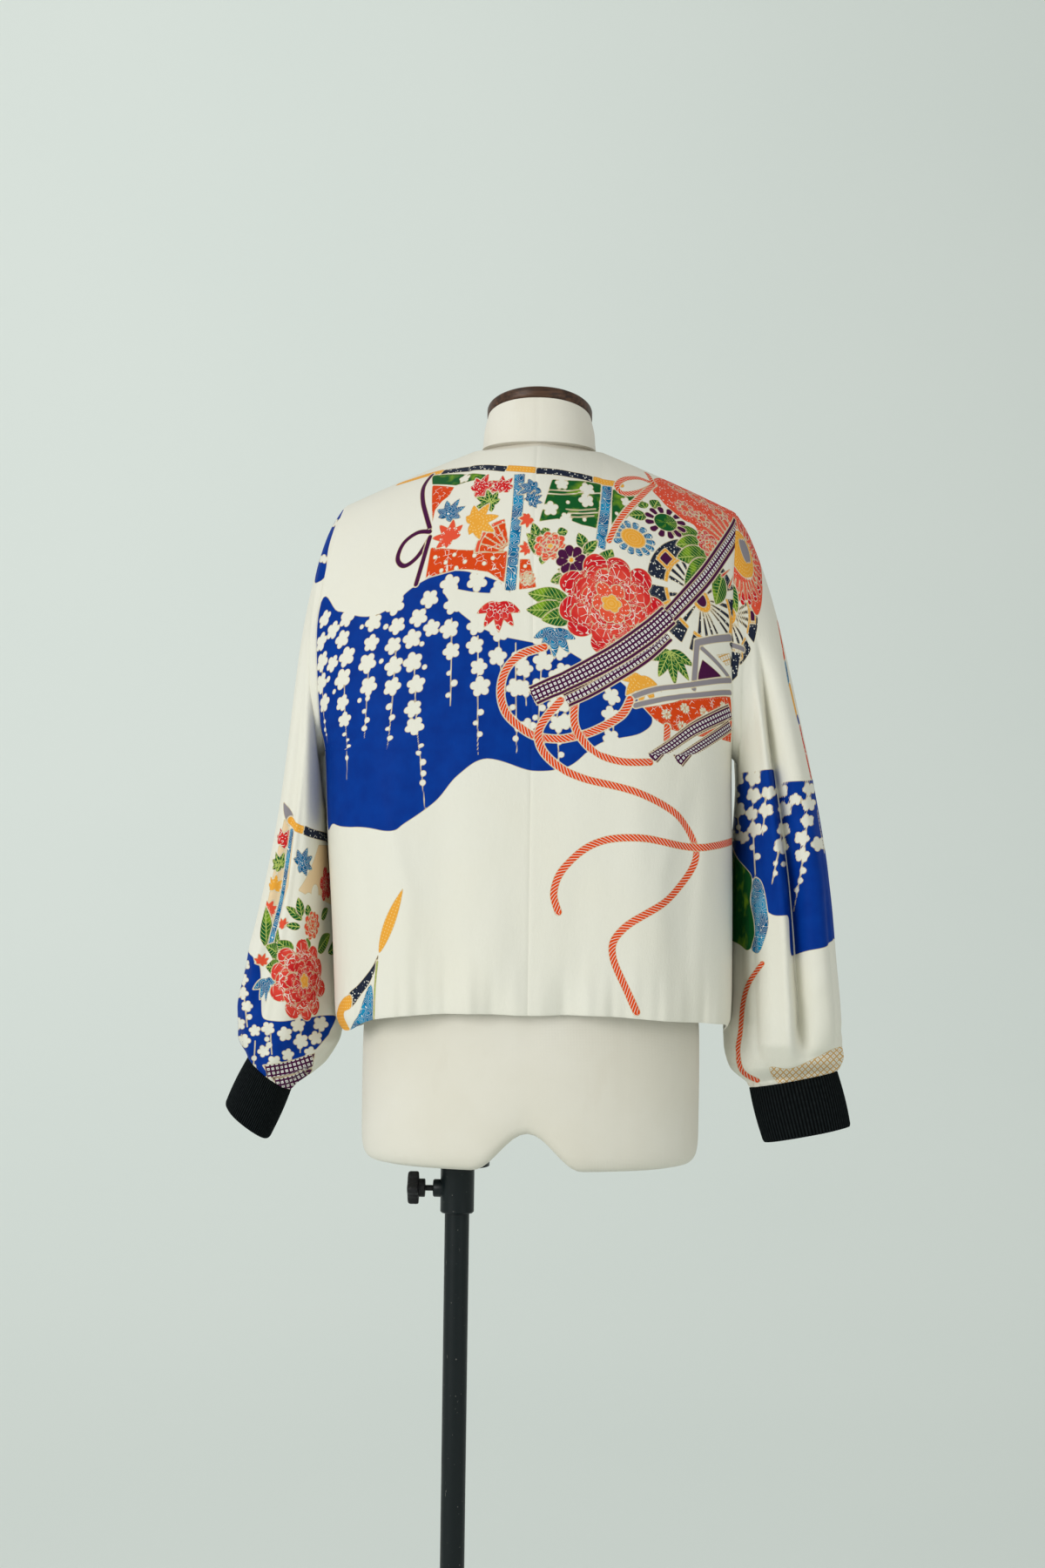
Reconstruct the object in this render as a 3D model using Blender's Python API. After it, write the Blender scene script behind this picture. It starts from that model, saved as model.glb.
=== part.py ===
"""A blouson jacket cut from kimono silk, worn by a limbless dress form on a pole stand.

Metres, +Z up, +Y the way the wearer faces, +X the wearer's right. The origin is the
centre of the base plate's underside, on the floor under the middle of the form. Every
cloth panel is a thin wall on one middle surface, so that neighbouring panels share
their seam points before each rim is drawn back a little.
"""

import math

import bmesh
import bpy
import numpy as np

LEFT, RIGHT = -1, 1
BACK, FRONT = -1, 1

# Cloth
CLOTH = 0.0016              # wall of the lined silk crepe
SEAM_GAP = 0.0006           # between two panels that are sewn together
FORK_EXTRA = 0.0010         # added to half the gap where four panels meet at the underarm
FRONT_GAP = 0.0016          # between the two front edges, which meet and don't overlap

# Jacket body
UNDERARM_Z = 1.120
BODY_POWER = 2.7            # superellipse power of the body's section
NECK_HALF = 0.0655          # half width of the neckline at the shoulder seam
NECK_BACK = 0.066           # how far the back neckline lies behind the shoulder seam
NECK_SIDE_Z = 1.431         # shoulder seam's height at the neck
NECK_FRONT_Z = 1.335        # lowest point of the front neckline
SHOULDER_SLOPE = 0.40
SHOULDER_BEND = 0.25
NAPE_RISE = 0.0230          # how far the ridge line would rise on from the neck to the nape
NAPE_POWER = 1.4
ROUND_BACK, ROUND_FRONT = 0.150, 0.170   # drop over which back and front turn upright
HEM_SIDE_Z = 0.838
HEM_LIFT = {BACK: 0.021, FRONT: 0.012}   # hem's middle stands higher than its sides
HEM_WAVE = 0.0022           # how far the drawn-in hem goes in and out at its puckers
HEM_PUCKERS = 4.0           # puckers across one panel

# Body sections: the height, the half widths, and the depths behind and before the seams.
# Above the underarm the half widths are those of the curve that the armhole cuts.
BODY = {
    "z":     (0.838, 0.852, 0.880, 0.950, 1.040, 1.120, 1.160, 1.200, 1.260, 1.370, 1.460),
    LEFT:    (.1965, .2010, .2025, .2060, .2120, .2160, .2290, .2380, .2430, .2360, .2300),
    RIGHT:   (.1990, .2045, .2055, .2050, .2035, .2020, .2130, .2200, .2240, .2260, .2240),
    BACK * 2:  (.118, .126, .129, .131, .131, .130, .129, .128, .127, .126, .126),
    FRONT * 2: (.119, .126, .128, .131, .136, .139, .139, .136, .130, .118, .110),
}

# Armholes: distance of the seam from the middle, at shares of the way up to the shoulder.
ARMHOLE = {
    "up":  (0.00, 0.15, 0.45, 0.70, 0.90, 1.00),
    LEFT:  (.2160, .2180, .2205, .2140, .2045, .1990),
    RIGHT: (.2020, .2010, .1990, .2000, .2020, .2035),
}
ARMHOLE_FRONT_SCOOP = 0.009  # the front armhole is cut further in than the back one

# Soft folds of the body: where each starts and ends, its half width and its height.
FOLDS = {
    BACK: (
        # x_top, z_top, x_end, z_end, half_width, height
        (-0.150, 1.30, -0.135, 0.84, 0.022, 0.0047),
        (-0.095, 1.20, -0.082, 0.84, 0.021, -0.0036),
        (-0.030, 1.02, -0.040, 0.84, 0.018, 0.0025),
        (0.052, 1.06, 0.046, 0.84, 0.020, -0.0028),
        (0.100, 1.24, 0.118, 0.84, 0.022, 0.0040),
        (0.155, 1.30, 0.160, 0.84, 0.018, -0.0040),
    ),
    FRONT: (
        (-0.140, 1.30, -0.128, 0.84, 0.022, 0.0045),
        (-0.080, 1.16, -0.072, 0.84, 0.020, -0.0035),
        (0.075, 1.18, 0.070, 0.84, 0.020, -0.0035),
        (0.138, 1.30, 0.130, 0.84, 0.022, 0.0045),
    ),
}

# Sleeves, ring by ring from the armhole to the cuff seam: the outer line, the inner line,
# the half depth, how far forward the ring's middle lies, and how much further its inner line.
SLEEVE = {
    LEFT: (
        # out_x, out_z, in_x, in_z, half_depth, y_mid, lean
        (0.1990, 1.3717, 0.2160, 1.120, 0.070, 0.000, 0.000),
        (0.2110, 1.3520, 0.2235, 1.108, 0.073, 0.006, 0.006),
        (0.2235, 1.3150, 0.2220, 1.085, 0.074, 0.011, 0.016),
        (0.2330, 1.2780, 0.2170, 1.055, 0.074, 0.015, 0.026),
        (0.2405, 1.2330, 0.2120, 1.026, 0.074, 0.018, 0.034),
        (0.2460, 1.1880, 0.2080, 0.996, 0.074, 0.020, 0.038),
        (0.2520, 1.1330, 0.2050, 0.965, 0.074, 0.021, 0.040),
        (0.2605, 1.0640, 0.2030, 0.932, 0.074, 0.022, 0.040),
        (0.2730, 0.9940, 0.2010, 0.900, 0.073, 0.022, 0.038),
        (0.2845, 0.9430, 0.2000, 0.870, 0.072, 0.022, 0.034),
        (0.2960, 0.8920, 0.1995, 0.846, 0.070, 0.022, 0.028),
        (0.3040, 0.8530, 0.2020, 0.824, 0.067, 0.022, 0.020),
        (0.3035, 0.8240, 0.2160, 0.799, 0.058, 0.022, 0.010),
        (0.2965, 0.8060, 0.2475, 0.774, 0.045, 0.022, 0.002),
        (0.2947, 0.8013, 0.2513, 0.7677, 0.043, 0.022, 0.000),
    ),
    RIGHT: (
        (0.2035, 1.3696, 0.2020, 1.120, 0.070, 0.000, 0.000),
        (0.2155, 1.3500, 0.2100, 1.108, 0.073, 0.006, 0.006),
        (0.2310, 1.3120, 0.2100, 1.085, 0.075, 0.011, 0.016),
        (0.2445, 1.2690, 0.2080, 1.057, 0.076, 0.015, 0.026),
        (0.2580, 1.2150, 0.2060, 1.026, 0.077, 0.018, 0.034),
        (0.2705, 1.1600, 0.2040, 0.996, 0.077, 0.020, 0.038),
        (0.2850, 1.0950, 0.2020, 0.965, 0.076, 0.021, 0.040),
        (0.2980, 1.0260, 0.2010, 0.932, 0.075, 0.022, 0.040),
        (0.3065, 0.9650, 0.2000, 0.900, 0.074, 0.022, 0.038),
        (0.3115, 0.9150, 0.2000, 0.870, 0.073, 0.022, 0.034),
        (0.3170, 0.8660, 0.2000, 0.846, 0.071, 0.022, 0.028),
        (0.3195, 0.8350, 0.2010, 0.820, 0.067, 0.022, 0.020),
        (0.3210, 0.8130, 0.2080, 0.799, 0.054, 0.022, 0.010),
        (0.3175, 0.8010, 0.2262, 0.7830, 0.027, 0.022, 0.002),
        (0.3168, 0.7961, 0.2272, 0.7779, 0.023, 0.022, 0.000),
    ),
}
SLEEVE_CLEAR = 0.0036       # between the middle surfaces of a sleeve and the jacket's side
ARMHOLE_REACH = 3.6         # rings over which the armhole's own outline fades out
OUTER_SEAM_TURN = {LEFT: 0.42, RIGHT: 0.30}   # radians that the outer seam turns backward
UNDER_SEAM_TURN = {LEFT: 0.35, RIGHT: 0.70}   # and the underarm seam, by the cuff
GATHERS = 8                 # gathers round each cuff seam
GATHER_DEPTH = 0.0022

# Folds of the sleeves: angle from the outer line over the back, first and last ring,
# half width in radians, and height.
SLEEVE_FOLDS = {
    LEFT: (
        # angle, ring_from, ring_to, half_width, height
        (0.95, 3.0, 12.0, 0.26, -0.0075),
        (1.60, 4.0, 12.5, 0.24, 0.0050),
        (2.30, 5.0, 12.0, 0.24, -0.0060),
        (3.90, 4.0, 12.0, 0.26, -0.0070),
        (4.90, 3.0, 12.0, 0.26, 0.0060),
        (5.60, 5.0, 12.0, 0.22, -0.0055),
    ),
    RIGHT: (
        (0.75, 3.0, 12.0, 0.22, 0.0040),
        (1.28, 2.0, 12.0, 0.20, -0.0150),
        (1.75, 3.5, 12.0, 0.24, 0.0085),
        (2.45, 5.0, 12.0, 0.22, -0.0060),
        (3.90, 4.0, 12.0, 0.26, -0.0070),
        (4.90, 3.0, 12.0, 0.26, 0.0060),
        (5.60, 5.0, 12.0, 0.22, -0.0055),
    ),
}

# Cuffs of rib knit
CUFF_WALL = 0.0022
CUFF_RIBS = 80
RIB_HEIGHT = 0.0009
CUFF = {
    # top centre, bottom centre, half width, half depth, and the way across the section
    LEFT: {"top": (-0.2730, 0.022, 0.7845), "foot": (-0.2965, 0.026, 0.7325),
           "half": (0.0275, 0.0285), "depth": (0.043, 0.041), "across": (-0.790, 0.613)},
    RIGHT: {"top": (0.2720, 0.022, 0.7870), "foot": (0.2865, 0.020, 0.7300),
            "half": (0.0457, 0.0452), "depth": (0.023, 0.0225), "across": (0.980, 0.199)},
}

# Mesh counts
PANEL_COLUMNS = 12
LOWER_ROWS = 10
UPPER_ROWS = 13
NECK_SHARE = 1 / 3          # share of a panel's top edge that is neckline
SLEEVE_RINGS = (0, .55, 1.2, 2, 2.9, 3.8, 4.7, 5.6, 6.5, 7.4, 8.2, 9, 9.8, 10.5, 11.2, 11.8,
                12.4, 13, 13.5, 14)

# Dress form
FORM_EASE = 0.0021          # from the jacket's middle surface to the form, where it carries it
FORM_COLUMNS = 32
FORM_POWER = 2.15
CROTCH_HALF = 0.056         # half width of the arch between the two thigh stubs
CROTCH_HEIGHT = 0.038
CROTCH_FADE = 0.085         # height over which the arch fades up the form
STUB_Z = 0.699              # underside of the thigh stubs
FORM = (
    # z_side, z_back, z_front, half_width, back, front
    (0.699, 0.699, 0.699, 0.152, 0.084, 0.078),
    (0.7025, 0.7025, 0.7025, 0.165, 0.096, 0.089),
    (0.712, 0.712, 0.712, 0.1718, 0.103, 0.095),
    (0.730, 0.730, 0.730, 0.1738, 0.107, 0.098),
    (0.780, 0.780, 0.780, 0.1740, 0.112, 0.100),
    (0.830, 0.830, 0.830, 0.1735, 0.114, 0.101),
    (0.880, 0.880, 0.880, 0.1690, 0.110, 0.100),
    (0.930, 0.930, 0.930, 0.1570, 0.100, 0.097),
    (0.980, 0.980, 0.980, 0.1460, 0.091, 0.095),
    (1.030, 1.030, 1.030, 0.1440, 0.090, 0.099),
    (1.080, 1.080, 1.080, 0.1500, 0.096, 0.108),
    (1.130, 1.130, 1.130, 0.1580, 0.103, 0.119),
    (1.175, 1.175, 1.175, 0.1640, 0.107, 0.122),
    (1.225, 1.225, 1.225, 0.1710, 0.109, 0.115),
    (1.275, 1.275, 1.275, 0.1780, 0.108, 0.104),
    (1.312, 1.315, 1.310, 0.1820, 0.106, 0.094),
    (1.342, 1.348, 1.335, 0.1835, 0.104, 0.086),
    (1.364, 1.374, 1.354, 0.1800, 0.100, 0.080),
    (1.380, 1.390, 1.368, 0.1660, 0.096, 0.075),
    (1.392, 1.402, 1.380, 0.1440, 0.091, 0.071),
    (1.4035, 1.411, 1.392, 0.1180, 0.085, 0.068),
    (1.4145, 1.419, 1.403, 0.0870, 0.074, 0.065),
    (1.4245, 1.429, 1.415, 0.0620, 0.0615, 0.061),
    (1.437, 1.442, 1.427, 0.0580, 0.0602, 0.0600),
    (1.449, 1.459, 1.437, 0.0570, 0.0612, 0.0595),
    (1.4635, 1.4812, 1.4458, 0.0535, 0.0600, 0.0600),
)

# Neck cap: a slanted oval of wood that follows the neck's top
CAP_THICK = 0.0122
CAP_HALF, CAP_DEPTH = 0.0542, 0.0607
CAP_TILT = (1.4812 - 1.4458) / 0.120     # rise of the neck's top towards the back
CAP_EDGE = 0.0022
CAP_MID_Z = 1.4635

# Stand
POLE_X = -0.0742            # the pole stands in the wearer's left thigh stub
POLE_R = 0.0127
BASE_R, BASE_THICK = 0.190, 0.008
HUB_R, HUB_TOP = 0.024, 0.034
TOUCH = 0.0003              # gap between two hard pieces that touch
BORE_R = POLE_R + 0.0006    # the pole's running clearance in socket and form
POLE_TOP = 0.885
BORE_TOP = 1.050
FLANGE_R, FLANGE_THICK = 0.033, 0.005
SOCKET_R = 0.0175
SOCKET_LENGTH = 0.049
KNOB_Z = 0.6698
BOSS_R, BOSS_LENGTH = 0.0092, 0.0075
STEM_R = 0.0030
STEM_BORE_R = 0.0034
KNOB_HUB_R = 0.0095
KNOB_R = 0.0150
KNOB_LOBE = 0.0032          # how far the four grips stand out of the knob
KNOB_THICK = 0.0120
KNOB_LOBES = 4

COLOURS = {
    "silk": (0.80, 0.77, 0.66, 1), "rib": (0.012, 0.014, 0.016, 1),
    "linen": (0.74, 0.73, 0.66, 1), "wood": (0.10, 0.055, 0.03, 1),
    "black_steel": (0.02, 0.025, 0.03, 1), "black_plastic": (0.015, 0.015, 0.017, 1),
}
ROUGHNESS = {"silk": 0.55, "rib": 0.9, "linen": 0.85, "wood": 0.4, "black_steel": 0.35,
             "black_plastic": 0.45}


def clear_scene():
    for obj in list(bpy.data.objects):
        bpy.data.objects.remove(obj)


def material(name):
    """One Principled material for each finish."""
    found = bpy.data.materials.get(name)
    if found:
        return found
    made = bpy.data.materials.new(name)
    made.use_nodes = True
    shader = made.node_tree.nodes["Principled BSDF"]
    shader.inputs["Base Color"].default_value = COLOURS[name]
    shader.inputs["Roughness"].default_value = ROUGHNESS[name]
    shader.inputs["Metallic"].default_value = 0.7 if name == "black_steel" else 0.0
    return made


def add_mesh(name, points, faces, finish, smooth_angle=None):
    mesh = bpy.data.meshes.new(name)
    mesh.from_pydata([tuple(p) for p in points], [], faces)
    mesh.validate()
    obj = bpy.data.objects.new(name, mesh)
    bpy.context.scene.collection.objects.link(obj)
    mesh.materials.append(material(finish))
    if smooth_angle:
        mesh.shade_smooth()
        mesh.set_sharp_from_angle(angle=smooth_angle)
    return obj


def through(knots, values, at):
    """A smooth curve through the table's rows that never swings past them."""
    knots, values = np.asarray(knots, float), np.asarray(values, float)
    at = np.clip(np.asarray(at, float), knots[0], knots[-1])
    step = np.diff(knots)
    rise = np.diff(values) / step
    slope = np.zeros_like(values)
    same = rise[:-1] * rise[1:] > 0
    mean = 2 * rise[:-1] * rise[1:] / np.where(same, rise[:-1] + rise[1:], 1)
    slope[1:-1] = np.where(same, mean, 0)
    slope[0], slope[-1] = rise[0], rise[-1]
    i = np.clip(np.searchsorted(knots, at, side="right") - 1, 0, len(step) - 1)
    t = (at - knots[i]) / step[i]
    return (values[i] * (1 + 2 * t) * (1 - t) ** 2 + values[i + 1] * t * t * (3 - 2 * t)
            + step[i] * (slope[i] * t * (1 - t) ** 2 - slope[i + 1] * t * t * (1 - t)))


def ease(t):
    t = np.clip(t, 0, 1)
    return t * t * (3 - 2 * t)


def even_quarter(aspect, power, count=400):
    """Shares of width at even steps along a quarter of a superellipse, and those steps."""
    angle = np.linspace(0, math.pi / 2, count)
    wide = np.sin(angle) ** (2 / power)
    deep = np.cos(angle) ** (2 / power)
    run = np.hypot(np.diff(wide * aspect), np.diff(deep))
    length = np.concatenate([[0], np.cumsum(run)])
    return wide, length / length[-1]


QUARTER_WIDE, QUARTER_STEP = even_quarter(1.6, BODY_POWER)


def quarter_share(u):
    """Share of the half width that lies at share u of the way round from the middle."""
    return np.interp(u, QUARTER_STEP, QUARTER_WIDE)


def half_width(side, z):
    return through(BODY["z"], BODY[side], z)


def depth(face, z):
    return through(BODY["z"], BODY[face * 2], z)


def shoulder_z(x):
    """Height of the shoulder ridge at distance x from the middle."""
    x = np.abs(x)
    out = np.maximum(x - NECK_HALF, 0)
    slope = NECK_SIDE_Z - SHOULDER_SLOPE * out - SHOULDER_BEND * out * out
    nape = NAPE_RISE * (1 - np.minimum(x / NECK_HALF, 1) ** NAPE_POWER)
    return slope + nape


def turn(share):
    """Quarter of an ellipse: 0 at the ridge, 1 where the cloth hangs upright."""
    share = np.clip(share, 0, 1)
    return np.sqrt(np.maximum(1 - (1 - share) ** 2, 0))


def body_y(side, face, x, z):
    """Depth of the jacket's body surface at a width and a height."""
    part = 1 - np.clip(np.abs(x) / half_width(side, z), 0, 1) ** BODY_POWER
    drop = ROUND_BACK if face == BACK else ROUND_FRONT
    over = turn((shoulder_z(x) - z) / drop)
    return depth(face, z) * part ** (1 / BODY_POWER) * over


def folds_at(face, x, z):
    """Height of the soft folds at a point of the back or the front."""
    total = np.zeros_like(x)
    for x_top, z_top, x_end, z_end, half, height in FOLDS[face]:
        down = np.clip((z_top - z) / (z_top - z_end), 0, 1)
        line = x_top + (x_end - x_top) * down
        total += height * ease(down * 1.6) * np.exp(-((x - line) / half) ** 2)
    return total


def hem_z(face, u):
    lift = HEM_LIFT[face] * (1 - u ** 3)
    wave = 0.002 * np.sin(7.0 * u + 0.6) * u * (1 - u) * 4
    return HEM_SIDE_Z + lift + wave


def top_edge(side, face, u):
    """Neckline and then shoulder seam: widths and heights at shares u of the way out."""
    tip = ARMHOLE[side][-1]
    on_neck = np.clip(u / NECK_SHARE, 0, 1)
    out = np.clip((u - NECK_SHARE) / (1 - NECK_SHARE), 0, 1)
    x = np.where(u <= NECK_SHARE, NECK_HALF * np.sin(on_neck * math.pi / 2),
                 NECK_HALF + (tip - NECK_HALF) * out)
    if face == BACK:
        behind = NECK_BACK * np.cos(on_neck * math.pi / 2)
        part = 1 - (x / half_width(side, NECK_SIDE_Z)) ** BODY_POWER
        reach = behind / (depth(face, NECK_SIDE_Z) * part ** (1 / BODY_POWER))
        neck = shoulder_z(x) - ROUND_BACK * (1 - np.sqrt(1 - reach ** 2))
    else:
        share = np.sin(on_neck * math.pi / 2) ** 1.5
        neck = NECK_FRONT_Z + (NECK_SIDE_Z - NECK_FRONT_Z) * share
    return x, np.where(u <= NECK_SHARE, neck, shoulder_z(x))


def armhole_x(side, face, up):
    scoop = ARMHOLE_FRONT_SCOOP * np.sin(up * math.pi) if face == FRONT else 0
    return through(ARMHOLE["up"], ARMHOLE[side], up) - scoop


def panel_grid(side, face, columns, lower, upper):
    """Middle surface of a back or front panel: a row of points for each height.

    Columns run from the middle seam to the side seam and the armhole, rows from the hem
    to the neckline and the shoulder seam. lower and upper are shares of the way up.
    """
    u = np.linspace(0, 1, columns + 1)[None, :]
    hem = hem_z(face, u)
    z_low = hem + (UNDERARM_Z - hem) * np.asarray(lower)[:, None]
    x_low = half_width(side, z_low) * quarter_share(u)
    up = np.asarray(upper)[1:, None]
    edge_x, edge_z = top_edge(side, face, u)
    z_up = UNDERARM_Z + (edge_z - UNDERARM_Z) * up
    seam_x = armhole_x(side, face, up)
    seam_z = UNDERARM_Z + (edge_z[:, -1:] - UNDERARM_Z) * up
    reach = np.interp(seam_x / half_width(side, seam_z), QUARTER_WIDE, QUARTER_STEP)
    low_share = quarter_share(u * reach) / quarter_share(reach)
    blend = up ** 2
    x_up = seam_x * ((1 - blend) * low_share + blend * edge_x / edge_x[:, -1:])
    x = np.concatenate([x_low, x_up])
    z = np.concatenate([z_low, z_up])
    y = face * body_y(side, face, x, z)
    rows = np.concatenate([np.zeros(len(lower)), up[:, 0]])[:, None]
    keep = (1 - u ** 6) * (1 - rows ** 2)
    y = y + face * folds_at(face, side * x, z) * keep
    low_rows = np.concatenate([np.asarray(lower), np.ones(len(up))])[:, None]
    pucker = np.cos(2 * math.pi * HEM_PUCKERS * u) * np.exp(-(low_rows / 0.10) ** 2)
    y = y + face * HEM_WAVE * pucker * (1 - u ** 6)
    return np.stack([side * x, y, z], axis=-1)


def sleeve_row(side, ring):
    """The sleeve table's columns at a ring number."""
    rows = np.array(SLEEVE[side])
    return [through(np.arange(len(rows)), rows[:, k], ring) for k in range(rows.shape[1])]


def ring_points(side, angle, ring):
    """Points of the sleeve's plain rings. Angle 0 is the outer line, a quarter the back."""
    out_x, out_z, in_x, in_z, half_depth, y_mid, lean = sleeve_row(side, ring)
    x = (out_x + in_x) / 2 + (out_x - in_x) / 2 * np.cos(angle)
    z = (out_z + in_z) / 2 + (out_z - in_z) / 2 * np.cos(angle)
    y = y_mid - half_depth * np.sin(angle) - lean * np.cos(angle)
    return np.stack([side * x, y, z], axis=-1)


def body_edge(side, y, z):
    """Width at which the jacket's side lies at a depth and a height."""
    face_depth = np.where(y < 0, depth(BACK, z), depth(FRONT, z))
    part = 1 - np.clip(np.abs(y) / face_depth, 0, 1) ** BODY_POWER
    return half_width(side, z) * part ** (1 / BODY_POWER)


def beside_body(side, points, ring):
    """Lets the sleeve lie flat against the jacket's side where it would sink into it."""
    width, y, z = side * points[..., 0], points[..., 1], points[..., 2]
    near = ease(ring / 1.2) * ease((UNDERARM_Z - z) / 0.02)
    limit = body_edge(side, y, z) + SLEEVE_CLEAR
    short = np.maximum(limit - width, 0) * near
    return points + np.stack([side * short, 0 * short, 0 * short], axis=-1)


def sleeve_folds_at(side, angle, ring):
    total = np.zeros(np.broadcast(angle, ring).shape)
    for middle, first, last, half, height in SLEEVE_FOLDS[side]:
        away = (angle - middle + math.pi) % (2 * math.pi) - math.pi
        along = ease((ring - first) / 2.2) * ease((last - ring) / 1.8)
        total = total + height * along * np.exp(-(away / half) ** 2)
    return total


def sleeve_grid(side, face, rings, armhole):
    """Middle surface of a sleeve's back or front half, ring by ring from the armhole.

    armhole holds the body's own seam points, so that sleeve and body share them. The back
    half runs from the outer seam to the underarm seam, the front half on from there.
    """
    count = len(armhole)
    ring = np.asarray(rings, float)[:, None]
    down = ring / (len(SLEEVE[side]) - 1)
    share = np.linspace(0, 1, count)[None, :]
    outer = OUTER_SEAM_TURN[side] * ease(down * 1.3)
    under = math.pi - UNDER_SEAM_TURN[side] * ease(down * 1.6 - 0.6)
    even = outer + (under - outer) * share if face == BACK else (
        under + (2 * math.pi + outer - under) * share)
    first_out, first_in = SLEEVE[side][0][1], SLEEVE[side][0][3]
    tall = (armhole[:, 2] - (first_out + first_in) / 2) / ((first_out - first_in) / 2)
    start = np.arccos(np.clip(tall, -1, 1))[None, :]
    if face == FRONT:
        start = 2 * math.pi - start
    angle = start + (even - start) * ease(ring / ARMHOLE_REACH)
    points = ring_points(side, angle, ring)
    offset = armhole[None] - ring_points(side, start, np.zeros((1, 1)))
    points = points + offset * (1 - ease(ring / ARMHOLE_REACH))[..., None]
    middle = ring_points(side, angle, ring) * 0.5 + ring_points(side, angle + math.pi, ring) * 0.5
    outward = points - middle
    outward /= np.maximum(np.linalg.norm(outward, axis=-1, keepdims=True), 1e-9)
    gather = GATHER_DEPTH * np.cos(GATHERS * angle) * np.exp(-((ring - 12.6) / 0.9) ** 2)
    raised = sleeve_folds_at(side, angle, ring) + gather
    return beside_body(side, points + outward * raised[..., None], ring)


def grid_normals(grid, flip):
    """Normals of a grid of points, from its neighbours on each side."""
    along = np.gradient(grid, axis=0)
    across = np.gradient(grid, axis=1)
    normal = np.cross(across, along) * flip
    return normal / np.maximum(np.linalg.norm(normal, axis=-1, keepdims=True), 1e-12)


def share_normals(grids, normals):
    """Panels that meet get the mean of their normals at the seam points they share."""
    sums = {}
    for name, grid in grids.items():
        for point, normal in zip(grid.reshape(-1, 3), normals[name].reshape(-1, 3)):
            key = tuple(np.round(point, 6))
            sums[key] = sums.get(key, 0) + normal
    for name, grid in grids.items():
        joined = np.array([sums[tuple(np.round(p, 6))] for p in grid.reshape(-1, 3)])
        joined /= np.linalg.norm(joined, axis=1, keepdims=True)
        normals[name] = joined.reshape(grid.shape)


def draw_back(grid, edges):
    """Moves a panel's rims inward by one distance a rim, or by one for each of its points."""
    out = grid.copy()
    rims = {"first_row": (0, 1, 0), "last_row": (-1, -2, 0),
            "first_column": (0, 1, 1), "last_column": (-1, -2, 1)}
    for rim, distance in edges.items():
        at, inner, axis = rims[rim]
        rim_points = np.take(grid, at, axis=axis)
        way = np.take(grid, inner, axis=axis) - rim_points
        way /= np.linalg.norm(way, axis=-1, keepdims=True)
        way *= np.broadcast_to(distance, len(way))[:, None]
        if axis == 0:
            out[at] += way
        else:
            out[:, at] += way
    return out


def wall(name, grid, normals, thick, finish, flip):
    """A closed wall of one thickness on a grid of points."""
    rows, columns = grid.shape[:2]
    outer = (grid + normals * thick / 2).reshape(-1, 3)
    inner = (grid - normals * thick / 2).reshape(-1, 3)
    count = rows * columns

    def at(i, j):
        return i * columns + j

    faces = []
    for i in reversed(range(rows - 1)):
        for j in reversed(range(columns - 1)):
            quad = (at(i, j), at(i, j + 1), at(i + 1, j + 1), at(i + 1, j))
            faces.append(quad)
            faces.append(tuple(count + k for k in reversed(quad)))
    rim = ([at(0, j) for j in range(columns)]
           + [at(i, columns - 1) for i in range(1, rows)]
           + [at(rows - 1, j) for j in range(columns - 2, -1, -1)]
           + [at(i, 0) for i in range(rows - 2, 0, -1)])
    for a, b in zip(rim, rim[1:] + rim[:1]):
        faces.append((b, a, count + a, count + b))
    if flip < 0:
        faces = [tuple(reversed(f)) for f in faces]
    return add_mesh(name, np.concatenate([outer, inner]), faces, finish, math.radians(50))


def fork_gap(steps):
    """Half the seam's gap, wider at the underarm point, where four panels come together."""
    return SEAM_GAP / 2 + FORK_EXTRA * np.exp(-np.asarray(steps) ** 2 / 0.8)


def build_jacket():
    """The four body panels and the four sleeve halves, as walls that meet at seams."""
    step = np.linspace(0, 1, LOWER_ROWS + 1)
    lower = step ** 1.25
    upper = 1 - (1 - np.linspace(0, 1, UPPER_ROWS + 1)) ** 1.5
    side_names = {LEFT: "left", RIGHT: "right"}
    face_names = {BACK: "back", FRONT: "front"}
    grids, normals, flips, rims = {}, {}, {}, {}
    for side in (LEFT, RIGHT):
        for face in (BACK, FRONT):
            name = f"{face_names[face]}_{side_names[side]}"
            grid = panel_grid(side, face, PANEL_COLUMNS, lower, upper)
            armhole = grid[LOWER_ROWS:, -1][::-1]
            grids[name], flips[name] = grid, -side * face
            middle = FRONT_GAP / 2 if face == FRONT else SEAM_GAP / 2
            from_fork = np.abs(np.arange(len(grid)) - LOWER_ROWS)
            rims[name] = {"first_column": middle, "last_column": fork_gap(from_fork),
                          "last_row": SEAM_GAP / 2}
            sleeve = f"sleeve_{side_names[side]}_{face_names[face]}"
            if face == FRONT:
                armhole = armhole[::-1]
            grids[sleeve] = sleeve_grid(side, face, SLEEVE_RINGS, armhole)
            flips[sleeve] = side
            from_fork = np.arange(len(armhole))
            if face == BACK:
                from_fork = from_fork[::-1]
            under, outer = "last_column", "first_column"
            if face == FRONT:
                under, outer = outer, under
            rims[sleeve] = {"first_row": fork_gap(from_fork), outer: SEAM_GAP / 2,
                            under: fork_gap(np.arange(len(SLEEVE_RINGS)))}
    for name, grid in grids.items():
        normals[name] = grid_normals(grid, flips[name])
        if name.startswith("sleeve"):
            side = LEFT if "left" in name else RIGHT
            normals[name][-1] = (grid[-1] - np.array(CUFF[side]["top"])) * 20
    share_normals(grids, normals)
    for name, grid in grids.items():
        wall(name, draw_back(grid, rims[name]), normals[name], CLOTH, "silk", flips[name])


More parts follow.
